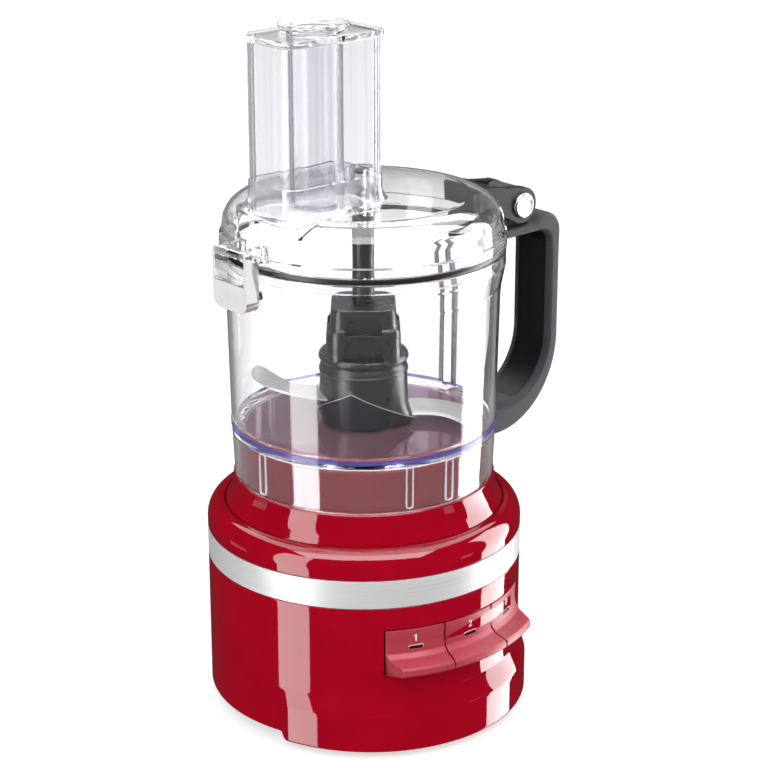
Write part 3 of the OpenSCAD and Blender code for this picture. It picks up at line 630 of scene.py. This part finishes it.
# The dome's outline, outside and inside
LID_OUT = [(82.0, 280.8, 0.5), (82.0, 286.2, 0.7), (80.9, 286.9), (79.7, 296.0)]
LID_OUT += arc(60, 294.2, 19.5, 14, 12, 90, 16)[1:] + [(45, 309.9), (25, 310.8), (9.7, 311)]
LID_IN = [(9.7, 308.6), (25, 308.4), (45, 307.5)] + arc(60, 294.2, 17.1, 11.6, 90, 15, 16)
LID_IN += [(76.8, 292), (75.7, 284), (75.6, 270.8, 0.6), (77.6, 270.8, 0.6), (77.6, 280.8, 0.4)]
BOSS = [(AXIS, 295), (9.6, 295, 0.6), (9.6, 323, 1.2), (AXIS, 323)]
# The feed tube's plan: its two ends, half its width, and its middle line
TUBE_X0, TUBE_X1, TUBE_HALF, TUBE_Y = -72.5, -5.0, 20.5, -4.0
# Its wall, the neck round its foot, and the small gap between them
TUBE_T, NECK_T, NECK_GAP = 2.2, 0.8, 0.06
# How far the neck widens into the dome, and where the flare starts and how tall it is
FLARE, FLARE_Z, FLARE_H = 7.0, 309.4, 8.5
# Radius inside which the neck and its film end
NECK_R = 79.2
# The cross pin that the latch turns on
PIN_X, PIN_Z = -91, 289


def bar_plan(inset, steps=8):
    """The feed tube's plan, moved in by inset."""
    x0, x1, half = TUBE_X0 + inset, TUBE_X1 - inset, TUBE_HALF - inset
    rl, rr = max(9 - inset, 0.6), max(6 - inset, 0.6)
    plan = arc(x0 + rl, -half + rl, rl, rl, 180, 270, steps)
    plan += arc(x1 - rr, -half + rr, rr, rr, 270, 360, steps)
    plan += arc(x1 - rr, half - rr, rr, rr, 0, 90, steps)
    plan += arc(x0 + rl, half - rl, rl, rl, 90, 180, steps)
    return [(x, y + TUBE_Y) for x, y in plan]


def plan_rows(levels):
    """Rows of the tube's plan at (inset, height) levels."""
    return [[(x, y, z) for x, y in bar_plan(inset)] for inset, z in levels]


def neck_flare(inset, drop, first=0):
    """Levels where a wall round the feed tube widens downwards into the dome."""
    levels = []
    steps = 8
    for k in range(first, steps + 1):
        a = math.radians(90 * k / steps)
        levels.append((inset - FLARE * (1 - math.sin(a)), FLARE_Z - drop + FLARE_H * (1 - math.cos(a))))
    return levels


def pin_hole(radius, half):
    """The solid that cuts the cross pin's bore."""
    outline = arc(PIN_X, PIN_Z, radius, radius, 0, 360, 24)[:-1]
    return prism("rod_tool", outline, -half, half, "y")


def neck():
    """The wall round the feed tube's foot, trimmed to the dome's underside."""
    levels = [(-NECK_T - FLARE, 285)] + neck_flare(-NECK_T, 0)
    levels += [(-NECK_T, 324.6), (-0.3, 325.3), (1.5, 325.3)]
    wall = grid("neck_tool", plan_rows(levels), caps=True)
    combine(wall, [plug("keep_tool", NECK_R, 290, 330)], "INTERSECT")
    # The dome's inside, a little larger, so that no two faces fall together
    inner = [(r * 1.012, z + 1.0) for r, z in soften(LID_IN[:-4], closed=False)]
    under = [(AXIS, 309.6)] + inner + [(inner[-1][0], 270), (AXIS, 270)]
    return cut(wall, lathe("under_tool", under, 240))


def lid_boss():
    """The round boss on the lid, cut where the feed tube passes it."""
    boss = lathe("boss_tool", soften(BOSS), 64)
    return cut(boss, grid("core_tool", plan_rows([(-NECK_GAP, 285), (-NECK_GAP, 330)]), caps=True))


def latch_ears():
    """The lid's two clear ears that hold the latch's cross pin."""
    ears = []
    for side in (-1, 1):
        outline = arc(PIN_X, PIN_Z, 3.3, 3.4, 90, 270, 12)
        outline += [(-86, 284.6), (-77, 284), (-77, 293), (-86, 292.8)]
        ears.append(prism("ear_tool", outline, side * 9 - 2.5, side * 9 + 2.5, "y"))
    keep = lathe("keep_tool", [(78.6, 270), (100, 270), (100, 300), (78.6, 300)], 120)
    return combine(weld(*ears), [keep], "INTERSECT")


def lid():
    """The clear dome with the neck of the feed tube, the boss and the latch's ears."""
    dome = lathe("lid_dome", soften(LID_OUT + LID_IN, steps=4), 240)
    weld(dome, neck())
    core = [(-NECK_GAP - FLARE, 280)] + neck_flare(-NECK_GAP, TUBE_T) + [(-NECK_GAP, 330)]
    cut(dome, grid("core_tool", plan_rows(core), caps=True))
    weld(dome, lid_boss())
    cut(dome, plug("hole_tool", 4.9, 280, 330, 48))
    weld(dome, latch_ears())
    return cut(dome, pin_hole(2.05, 20))


ready(lid(), CLEAR, "lid_group", ["lid"], 30)


def feed_tube():
    """The clear tube, with rounded ends."""
    low, high, lip = 303, 400.7, 0.5
    levels = [(lip, low), (0.0, low + lip), (0.0, high - lip), (lip, high),
              (TUBE_T - lip, high), (TUBE_T, high - lip), (TUBE_T, low + lip), (TUBE_T - lip, low)]
    return grid("feed_tube_wall", plan_rows(levels), wrap=True)


ready(feed_tube(), TUBE, "lid_group", ["feed_tube"], 30)

PUSHER_X = -38.0


def large_pusher():
    """The pusher that fills the feed tube: a hollow shell with a sleeve for the small pusher."""
    levels = [(3.0, 305), (2.65, 305.4), (2.65, 401.4), (-0.8, 401.4), (-1.7, 401.7), (-2.0, 402.4),
              (-2.0, 403.8), (-1.6, 404.6), (-0.8, 404.8), (1.0, 404.8)]
    shell = grid("large_pusher_shell", plan_rows(levels), caps=True)
    hollow = grid("hollow_tool", plan_rows([(4.45, 300), (4.45, 400.2), (5.4, 401.2)]), caps=True)
    cut(shell, hollow)
    sleeve = lathe("sleeve_tool", soften([(13.4, 305, 0.5), (15, 305, 0.5), (15, 403), (13.4, 403)]),
                   96)
    move(sleeve, PUSHER_X, TUBE_Y, 0)
    weld(shell, sleeve)
    bore = lathe("bore_tool", [(AXIS, 300), (13.4, 300), (13.4, 404.2), (14, 405), (14, 410),
                               (AXIS, 410)], 96)
    cut(shell, move(bore, PUSHER_X, TUBE_Y, 0))
    return shell


ready(large_pusher(), TUBE, "big_pusher", ["large_pusher"], 30)

small = lathe("small_pusher_cup", soften(
    [(0, 305.2), (11.6, 305, 1.2), (13, 306.2, 1.2), (13, 405.3, 0.3), (19.4, 405.3, 0.6),
     (19.6, 409.1, 0.3), (19.2, 409.5, 0.3), (18.6, 409.5, 0.3), (18.2, 409.1, 0.3),
     (18.1, 407.2, 0.6), (17.4, 406.6, 0.6), (12.4, 406.6, 0.7), (11.6, 405.8, 0.7),
     (11.4, 308.4, 1.5), (0, 307.2)], closed=False), 128,
    closed=False)
move(small, PUSHER_X, TUBE_Y, 0)
ready(small, TUBE, "little_pusher", ["small_pusher"], 30)


def neck_film():
    """A thin hazy layer round the neck. Its levels start part of the way up the flare."""
    inner, outer, top, first = -0.85, -0.97, 324.3, 3
    levels = neck_flare(inner, 0, first) + [(inner, top), (outer, top)]
    levels += neck_flare(outer, -0.1, first)[::-1]
    film = grid("neck_film", plan_rows(levels), wrap=True)
    return combine(film, [plug("keep_tool", NECK_R + 0.1, 290, 330)], "INTERSECT")


ready(neck_film(), HAZE, "lid_group", ["lid"], 30)

# The lid's seal ring, made tall and black: partly a real seal, partly painted shade for the dark band seen
# at the rim
seal = lathe("lid_seal_ring", soften(
    [(81.6, 277.5, 0.8), (81.9, 279, 0.8), (81.6, 280.7, 0.8), (78.2, 280.7), (78.2, 277.5)]), 240)
ready(seal, SEAL_AND_SHADE, "lid_group", ["lid_seal"])

bush = lathe("lid_bush", soften([(AXIS, 320.2), (4.8, 320.2, 0.4), (4.8, 321.6, 0.4), (AXIS, 321.6)],
                                closed=False), 48, closed=False)
ready(bush, BLACK, "lid_group")

# ---- handle ----

HANDLE_HALF = 16.0
# The handle's inner line, from its upper bend to its lower end
GRIP_FACE = arc(127.8, 256, 9, 9, 90, 0, 12) + [(136.8, z) for z in (248, 238, 228, 218, 208)]
GRIP_FACE += arc(97.7, 198, 39.1, 39.5, 0, -90, 26)


def handle_body():
    """The handle: a rounded section swept between its outer and inner lines, with the hinge block."""
    top = [((x, 270.6), (x, 265.0)) for x in (82.2, 88, 94, 100, 106, 112, 118, 122)]
    top += [((124.5, 271.4), (123.5, 265)), ((127, 274.2), (125.5, 265)), ((129.5, 275.8), (127, 265))]
    outer = arc(132, 263, 13, 13, 90, 0, 12) + [(145, z) for z in (248, 238, 228, 218, 208)]
    outer += arc(95, 198, 50, 55.5, 0, -90, 26)
    end = [((x, 142.5), (x, 158.5)) for x in (92, 88, 84)]
    end += [((77.4, 142.5), (78.0, 158.5))]
    rows = []
    for out, inn in top + list(zip(outer, GRIP_FACE)) + end:
        o, n = Vector(out), Vector(inn)
        thick = (n - o).length
        d = (n - o) / thick
        ro = min(2.2, thick * 0.40)
        ri = min(2.6, thick * 0.40)
        section = arc(ro, -HANDLE_HALF + ro, ro, ro, 180, 270, 5)
        section += arc(thick - ri, -HANDLE_HALF + ri, ri, ri, 270, 360, 5)
        section += arc(thick - ri, HANDLE_HALF - ri, ri, ri, 0, 90, 5)
        section += arc(ro, HANDLE_HALF - ro, ro, ro, 90, 180, 5)
        rows.append([(o.x + d.x * s, y, o.y + d.y * s) for s, y in section])
    handle = grid("handle_body", rows, caps=True)
    block = prism("block_tool", soften([(101.6, 267), (122.4, 267), (122.3, 284), (112, 288), (101.7, 284)]),
                  -9.7, 9.7, "y")
    knuckle = prism("knuckle_tool", arc(112, 284, 10.4, 10.4, 0, 360, 48)[:-1], -9.7, 9.7, "y")
    weld(block, knuckle)
    rounded(block, 0.7, 40, 3)
    weld(handle, block)
    wall = [(AXIS, 130), (75.95, 130)] + [(p[0] + 0.05, p[1]) for p in WALL[2:]] + [(AXIS, 277.2)]
    cut(handle, lathe("wall_tool", wall, 160))
    return handle


ready(handle_body(), CHARCOAL, "bowl_group", ["handle"], 38)


def grip_pad():
    """The soft pad on the handle's inner face, thinner and narrower towards its ends."""
    inner = GRIP_FACE[4:-6]
    rows = []
    for i, point in enumerate(inner):
        here = Vector(point)
        ahead = Vector(inner[min(i + 1, len(inner) - 1)]) - Vector(inner[max(i - 1, 0)])
        d = Vector((ahead.y, -ahead.x)).normalized()
        edge = min(1.0, i / 2, (len(inner) - 1 - i) / 2)
        half = 8.8 + 2.8 * math.sqrt(max(0.05, 1 - (1 - edge) ** 2))
        rise = 0.35 * math.sqrt(max(0.0, 1 - (1 - edge) ** 2))
        section = [(-1.0, -half), (rise * 0.2, -half), (rise * 0.8, -half + 0.6),
                   (rise, -half + 1.6), (rise, 0), (rise, half - 1.6), (rise * 0.8, half - 0.6),
                   (rise * 0.2, half), (-1.0, half)]
        rows.append([(here.x + d.x * s, y, here.y + d.y * s) for s, y in section])
    return grid("grip_pad", rows, caps=True)


ready(grip_pad(), GRIP, "bowl_group", ["handle_grip"], 40)

# ---- lid hinge ----


def hinge_fork():
    """The dark part on the lid that the hinge pin goes through."""
    ears = []
    for side in (-1, 1):
        outline = soften(arc(112, 284, 10.9, 10.9, -118, 95, 24)
                         + [(98, 296.5, 6), (92, 298, 3), (79, 299.6, 1), (76, 294), (78, 287),
                            (90, 283.2, 2)])
        low, high = sorted((side * 10.0, side * 16.0))
        ears.append(prism("ear_tool", outline, low, high, "y"))
    strap = prism("strap_tool", soften([(76, 299.4), (84, 299.2, 2), (96.5, 296.4, 2),
                                        (96.8, 289, 2), (88, 284.4), (76, 287)]), -10.2, 10.2, "y")
    fork = weld(ears[0], strap, ears[1])
    fork.name = "hinge_fork"
    outside = [(AXIS, 260), (82.2, 260)] + soften(LID_OUT, closed=False) + [(AXIS, 311)]
    cut(fork, lathe("dome_tool", outside, 160))
    return rounded(fork, 1.1, 38, 4)


ready(hinge_fork(), FORK, "lid_group", ["lid_hinge"], 38)

for side, word in ((-1, "front"), (1, "back")):
    cap = lathe(f"hinge_cap_{word}", soften(
        [(0, 0), (7.7, 0, 0.2), (7.7, 1.2, 0.7), (6.8, 2.0, 0.6), (4.5, 1.85), (0, 1.9)],
        closed=False), 64, closed=False)
    shift(cap, Matrix.Rotation(math.radians(90 if side < 0 else -90), 4, "X"))
    move(cap, 112, side * 16.1, 284)
    ready(cap, CAP, "bowl_group", ["hinge_caps"])

# ---- latch ----


def latch_clip():
    """The latch: a tray open to the bowl, with a window and a bore for the cross pin."""
    x0, depth = -96.0, 8.8
    outline = soften([(-14.8, 258, 7), (14.8, 258, 7), (14.8, 292, 2.5), (-14.8, 292, 2.5)],
                     steps=8)
    plate = prism("latch_frame", outline, x0, x0 + depth, "x")
    inside = soften([(-13.2, 259.6, 5.4), (13.2, 259.6, 5.4), (13.2, 300), (-13.2, 300)], steps=8)
    profile = soften([(x0 - 1, 250), (x0 + depth, 250), (x0 + depth, 288, 3.5), (x0 + 3, 292, 0.5),
                      (x0 - 1, 292)])
    combine(plate, [prism("profile_tool", profile, -20, 20, "y")], "INTERSECT")
    cut(plate, prism("inside_tool", inside, x0 + 1.6, x0 + 20, "x"))
    window = [(-12.8, 273.2), (12.8, 273.2), (12.8, 300), (-12.8, 300)]
    cut(plate, prism("window_tool", window, x0 - 2, x0 + 3, "x"), pin_hole(2.06, 30))
    return rounded(plate, 0.4, 40, 3)


ready(latch_clip(), CHROME, "latch", ["latch_clip"], 38)

# ---- blade hub and blades ----

# Angles of the hub's peak and of its lug, counted from the camera's side
PEAK, LUG = -15.0, 70.0
# Its thickest radius below the rings, how far the lug stands out, and the radius of its hole
HUB_R, LUG_OUT, HUB_HOLE = 26.5, 4.6, 6.5
# The four-sided top, upwards: height, half width, corner radius
HUB_TIERS = [(213.5, 21.7, 9.5), (218, 21.6, 9.5), (227, 21.4, 9.4), (230.7, 21.0, 9.2),
             (231.7, 20.4, 9.0), (232.7, 19.5, 8.6), (235, 19.1, 8.4), (242.6, 18.6, 8.0),
             (243.6, 18.2, 7.8), (244, 17.5, 7.4)]


def ridge_height(a):
    """Height of the hub's slanted edge at an angle of its own; it falls to both sides of a peak."""
    return 175.6 + 20.2 * (1 - abs((a - PEAK + 90) % 180 - 90) / 90)


def lug_share(a):
    """How much of the lug there is at an angle, from 0 to 1."""
    return ease(1 - abs(a - LUG) / 26)


def hub_top():
    """The hub's four-sided top, with an arched panel and a shallow recess on each side."""
    rows = []
    for z, half, corner in HUB_TIERS:
        row = []
        for quarter in range(4):
            for x, y in arc(half - corner, half - corner, corner, corner, 0, 90, 8):
                a = math.radians(90 * quarter)
                row.append((x * math.cos(a) - y * math.sin(a), x * math.sin(a) + y * math.cos(a), z))
        rows.append(row)
    top = grid("top_tool", rows, caps=True)
    tools = []
    for quarter in range(4):
        arch = arc(0, 219, 11.2, 9.6, 0, 180, 20) + [(-12.2, 209), (12.2, 209)]
        panel = prism("panel_tool", arch, 18.4, 40, "x")
        slot = soften([(-10.8, 229.6, 1.5), (10.8, 229.6, 1.5), (9.2, 239.2, 2), (-9.2, 239.2, 2)])
        recess = prism("recess_tool", slot, 16.0, 40, "x")
        tools += [turn_z(panel, 90 * quarter), turn_z(recess, 90 * quarter)]
    cut(top, *tools)
    return rounded(top, 0.6, 30, 3)


def hub():
    """The blade carrier: a slanted edge with a lug below, two rings, and the four-sided top."""
    rows = []
    steps = 180
    for i in range(steps):
        a = 360 * i / steps - 180
        ridge = ridge_height(a)
        lug = lug_share(a)
        above = max(ridge + 2.0, min(ridge + 7, 196.5))
        outline = [(16.2, 173), (24.0 + 4.5 * lug, 173), (24.4 + 4.8 * lug, 173.3),
                   (26.1 + LUG_OUT * lug, ridge - 0.5), (HUB_R + LUG_OUT * lug, ridge - 0.3),
                   (HUB_R + LUG_OUT * lug, ridge), (26.1 + LUG_OUT * lug, ridge + 0.2),
                   (25.9 + 4.0 * lug, ridge + 1.0), (25.6 + 0.8 * lug, above),
                   (25.6, 201.0), (25.6, 203.2), (26.0, 203.7), (26.0, 204.6), (25.5, 205.2),
                   (25.4, 205.8), (25.2, 207.0), (24.2, 208.6), (24.3, 209.3), (25.5, 210.2),
                   (26.1, 211.1), (26.2, 212.2), (25.9, 213.3), (25.2, 214.2), (23.6, 214.6),
                   (20.0, 214.0), (12, 214.0), (HUB_HOLE, 214.0), (HUB_HOLE, 191), (10.9, 191),
                   (10.9, 183), (16.2, 183)]
        rows.append([turned(r, z, math.radians(a)) for r, z in outline])
    body = grid("hub_body", rows, wrap=True)
    weld(body, hub_top())
    return cut(body, plug("hole_tool", HUB_HOLE, 190, 260, 48))


ready(turn_z(hub(), VIEW_BEARING), HUB, "blade_group", ["blade_hub"], 34)


def root_edge():
    """The steel edge that shows along the hub's slanted edge."""
    rows = []
    steps, thick = 180, 0.35
    for i in range(steps):
        a = 360 * i / steps - 180
        t = math.radians(a)
        z = ridge_height(a)
        r = HUB_R - 0.05 + LUG_OUT * lug_share(a)
        rows.append([turned(r, z - 0.35, t), turned(r + thick, z - 0.25, t),
                     turned(r + thick, z + 0.1, t), turned(r, z + 0.2, t)])
    return turn_z(grid("blade_root_edge", rows, wrap=True), VIEW_BEARING)


ready(root_edge(), BLADE, "blade_group", ["blade_hub"], 34)


def blade(name, turn, z, lift, node):
    """One curved blade, flat on top with a ground front edge."""
    steps, root, tip = 28, 24.0, 70.0
    rows = []
    for i in range(steps + 1):
        t = i / steps
        r = root + (tip - root) * t
        a = math.radians(-34 * t * t)
        mid = Vector((r * math.cos(a), r * math.sin(a)))
        half = (13.5 - 3.5 * t) * math.sqrt(max(0.0, 1 - (max(0.0, t - 0.72) / 0.28) ** 2))
        half = max(half, 0.15)
        n = math.radians(-50 * t)
        across = Vector((-math.sin(n), math.cos(n)))
        row = []
        ground = min(4.0, half * 0.7)
        for u, h in ((half, 0.55), (-half + ground, 0.65), (-half, -0.45), (-half, -0.6),
                     (half, -0.65)):
            p = mid + across * u
            row.append((p.x, p.y, h))
        rows.append(row)
    piece = grid(name, rows, caps=True)
    shift(piece, Matrix.Rotation(math.radians(-lift), 4, "Y"))
    move(piece, 0, 0, z)
    turn_z(piece, turn)
    rounded(piece, 0.12, 40, 2)
    return ready(piece, BLADE, "blade_group", [node], 30)


blade("blade_high", 150, 186, 9, "upper_blade")
blade("blade_low", -30, 177.5, 0, "lower_blade")

# ---- CAD nodes that keep their shape ----

# Node: material, width of its rounded edges
KEPT = {
    "base_plate": (GREY, 0.3), "rubber_feet": (RUBBER, 0.5), "housing_screws": (STEEL, 0.1),
    "chassis_plate": (STEEL, 0.2), "spindle_housing": (CAST, 0.4), "spindle_bearings": (BEARING, 0.1),
    "spindle_seal": (RUBBER, 0.15), "motor_frame": (STEEL, 0.2), "motor_stator": (IRON, 0.3),
    "motor_windings": (COPPER, 1.2), "motor_bearings": (BEARING, 0.1), "brush_holders": (BRASS, 0.2),
    "drive_belt": (RUBBER, 0.2), "control_board": (BOARD, 0.2), "lever_frame": (GREY, 0.2),
    "lever_pins": (STEEL, 0.1), "lever_switches": (BLACK, 0.2), "lever_spring_1": (STEEL, 0.1),
    "lever_spring_2": (STEEL, 0.1), "lever_spring_0": (STEEL, 0.1), "bowl_switch": (BLACK, 0.3),
    "cord_inlet": (BLACK, 0.3), "lever_light_1": (LENS, 0.1), "lever_light_2": (LENS, 0.1),
    "lever_light_0": (LENS, 0.1), "drive_spindle": (BEARING, 0.2), "drive_pulley": (NYLON, 0.2),
    "drive_dog": (STEEL, 0.3), "motor_shaft": (BEARING, 0.2), "armature": (COPPER, 0.2),
    "commutator": (COPPER, 0.2), "cooling_fan": (NYLON, 0.2), "motor_pulley": (BRASS, 0.2),
    "handle_screw": (STEEL, 0.1), "hinge_pin": (BEARING, 0.1), "drive_adapter": (BLACK, 0.3),
    "latch_pin": (BEARING, 0.2),
}
for name, (material, width) in KEPT.items():
    obj = nodes[name]
    obj.data.materials.clear()
    obj.data.materials.append(material)
    bevel = obj.modifiers.new("edge", "BEVEL")
    bevel.width = width * MM
    bevel.segments = 2
    bevel.limit_method = "ANGLE"
    bevel.angle_limit = math.radians(40)

# ---- studio ----

# The studio is in metres. The camera's turn, its distance from the drive axis, and its height
CAMERA_ANGLE, CAMERA_OUT, CAMERA_UP = math.radians(VIEW_BEARING + 90), 1.195, 0.617
PITCH_DOWN, YAW = math.radians(19.54), math.radians(0.57)

camera_data = bpy.data.cameras.new("camera")
camera_data.lens = 101.9
camera_data.sensor_width = 36.0
camera_data.clip_end = 50.0
camera = bpy.data.objects.new("camera", camera_data)
scene.collection.objects.link(camera)
scene.camera = camera
camera.location = (CAMERA_OUT * math.sin(CAMERA_ANGLE), -CAMERA_OUT * math.cos(CAMERA_ANGLE),
                   CAMERA_UP)
camera.rotation_euler = (math.pi / 2 - PITCH_DOWN, 0, CAMERA_ANGLE - YAW)


def sheet(name, wide, tall):
    """A flat rectangle round the origin, from sides in millimetres."""
    x, y = wide / 2, tall / 2
    return put(name, [(-x, -y, 0), (x, -y, 0), (x, y, 0), (-x, y, 0)], [(0, 1, 2, 3)])


floor = sheet("studio_floor", 4600, 4600)
floor_shader = Shader("studio_floor", Roughness=0.9, Emission_Color=(1, 1, 1, 1),
                      Emission_Strength=0.6)
floor_shader.tones(floor_shader.noise(3.0), (0.395, 0.395, 0.395), (0.405, 0.405, 0.405))
floor_shader.unseen_by("Glossy Depth")
floor.data.materials.append(floor_shader.material)
floor.visible_glossy = False


def card(name, centre, size, strength):
    """A glowing card that shows only in reflections and faces the object."""
    panel = sheet(name, *size)
    place = Vector(centre)
    panel.rotation_euler = (Vector((0, 0, 0.25)) - place).to_track_quat("Z", "Y").to_euler()
    panel.location = place
    material = bpy.data.materials.new(name)
    material.use_nodes = True
    tree = material.node_tree
    tree.nodes.clear()
    glow = tree.nodes.new("ShaderNodeEmission")
    glow.inputs["Strength"].default_value = strength
    unseen = tree.nodes.new("ShaderNodeBsdfTransparent")
    out = tree.nodes.new("ShaderNodeOutputMaterial")
    seen = by_path(tree, "Glossy Depth", unseen.outputs[0], glow.outputs[0])
    tree.links.new(seen, out.inputs["Surface"])
    panel.data.materials.append(material)
    material.cycles.emission_sampling = "NONE"
    panel.visible_camera = False
    panel.visible_diffuse = False
    panel.visible_shadow = False
    return panel


def around(left_of_camera, out, height):
    """A place on a circle round the object, by degrees to the left of the camera."""
    return turned(out, height, math.radians(VIEW_BEARING - left_of_camera))


def upright(name, left_of_camera, wide, low, high, strength):
    """A standing card, kept vertical, between two heights."""
    out = 1.7
    panel = card(name, around(left_of_camera, out, 0.25), (wide * 1000, (high - low) * 1000), strength)
    panel.location.z = (low + high) / 2
    a = math.radians(VIEW_BEARING - left_of_camera)
    panel.rotation_euler = (math.pi / 2, 0, a - math.pi / 2)


upright("left_card", 52.0, 0.75, -1.4, 1.5, 6.5)
upright("right_card", -108.0, 0.9, -1.4, 1.5, 9.0)
upright("latch_card", 98.6, 0.50, -0.42, -0.12, 0.85)
upright("flange_card", -75.6, 0.30, -0.42, -0.12, 1.0)
card("front_card", around(0, 0.74, 1.67), (2400, 1000), 8.0)
card("overhead_card", around(0, -0.6, 1.73), (2400, 1900), 3.5)

# Name, place, width and power of each lamp
LAMPS = [
    ("key_lamp", around(15, 1.5, 1.5), 1.0, 19.0),
    ("fill_lamp", around(-60, 1.8, 1.6), 1.4, 12.0),
    ("back_lamp", around(170, 1.5, 1.6), 1.2, 8.0),
]
for name, place, size, power in LAMPS:
    lamp_data = bpy.data.lights.new(name, "AREA")
    lamp_data.energy = power
    lamp_data.size = size
    lamp = bpy.data.objects.new(name, lamp_data)
    scene.collection.objects.link(lamp)
    lamp.location = place
    lamp.rotation_euler = (Vector((0, 0, 0.15)) - Vector(place)).to_track_quat("-Z", "Y").to_euler()
    lamp.visible_camera = False
    lamp.visible_glossy = False
    lamp.visible_transmission = False

world = bpy.data.worlds.new("studio")
scene.world = world
world.use_nodes = True
tree = world.node_tree
tree.nodes.clear()


def backdrop(grey):
    """A background of one grey."""
    node = tree.nodes.new("ShaderNodeBackground")
    node.inputs["Color"].default_value = (grey, grey, grey, 1)
    return node.outputs[0]


mirrored = by_path(tree, "Transmission Depth", backdrop(0.03), backdrop(0.42))
surround = by_path(tree, "Glossy Depth", backdrop(1.0), mirrored)
out = tree.nodes.new("ShaderNodeOutputWorld")
tree.links.new(surround, out.inputs["Surface"])

scene.view_settings.view_transform = "Standard"
# Enough bounces for light to pass all the clear walls
BOUNCES = 40
scene.cycles.max_bounces = BOUNCES
scene.cycles.transmission_bounces = BOUNCES
scene.cycles.transparent_max_bounces = BOUNCES
scene.cycles.glossy_bounces = BOUNCES
scene.cycles.sample_clamp_indirect = 6.0
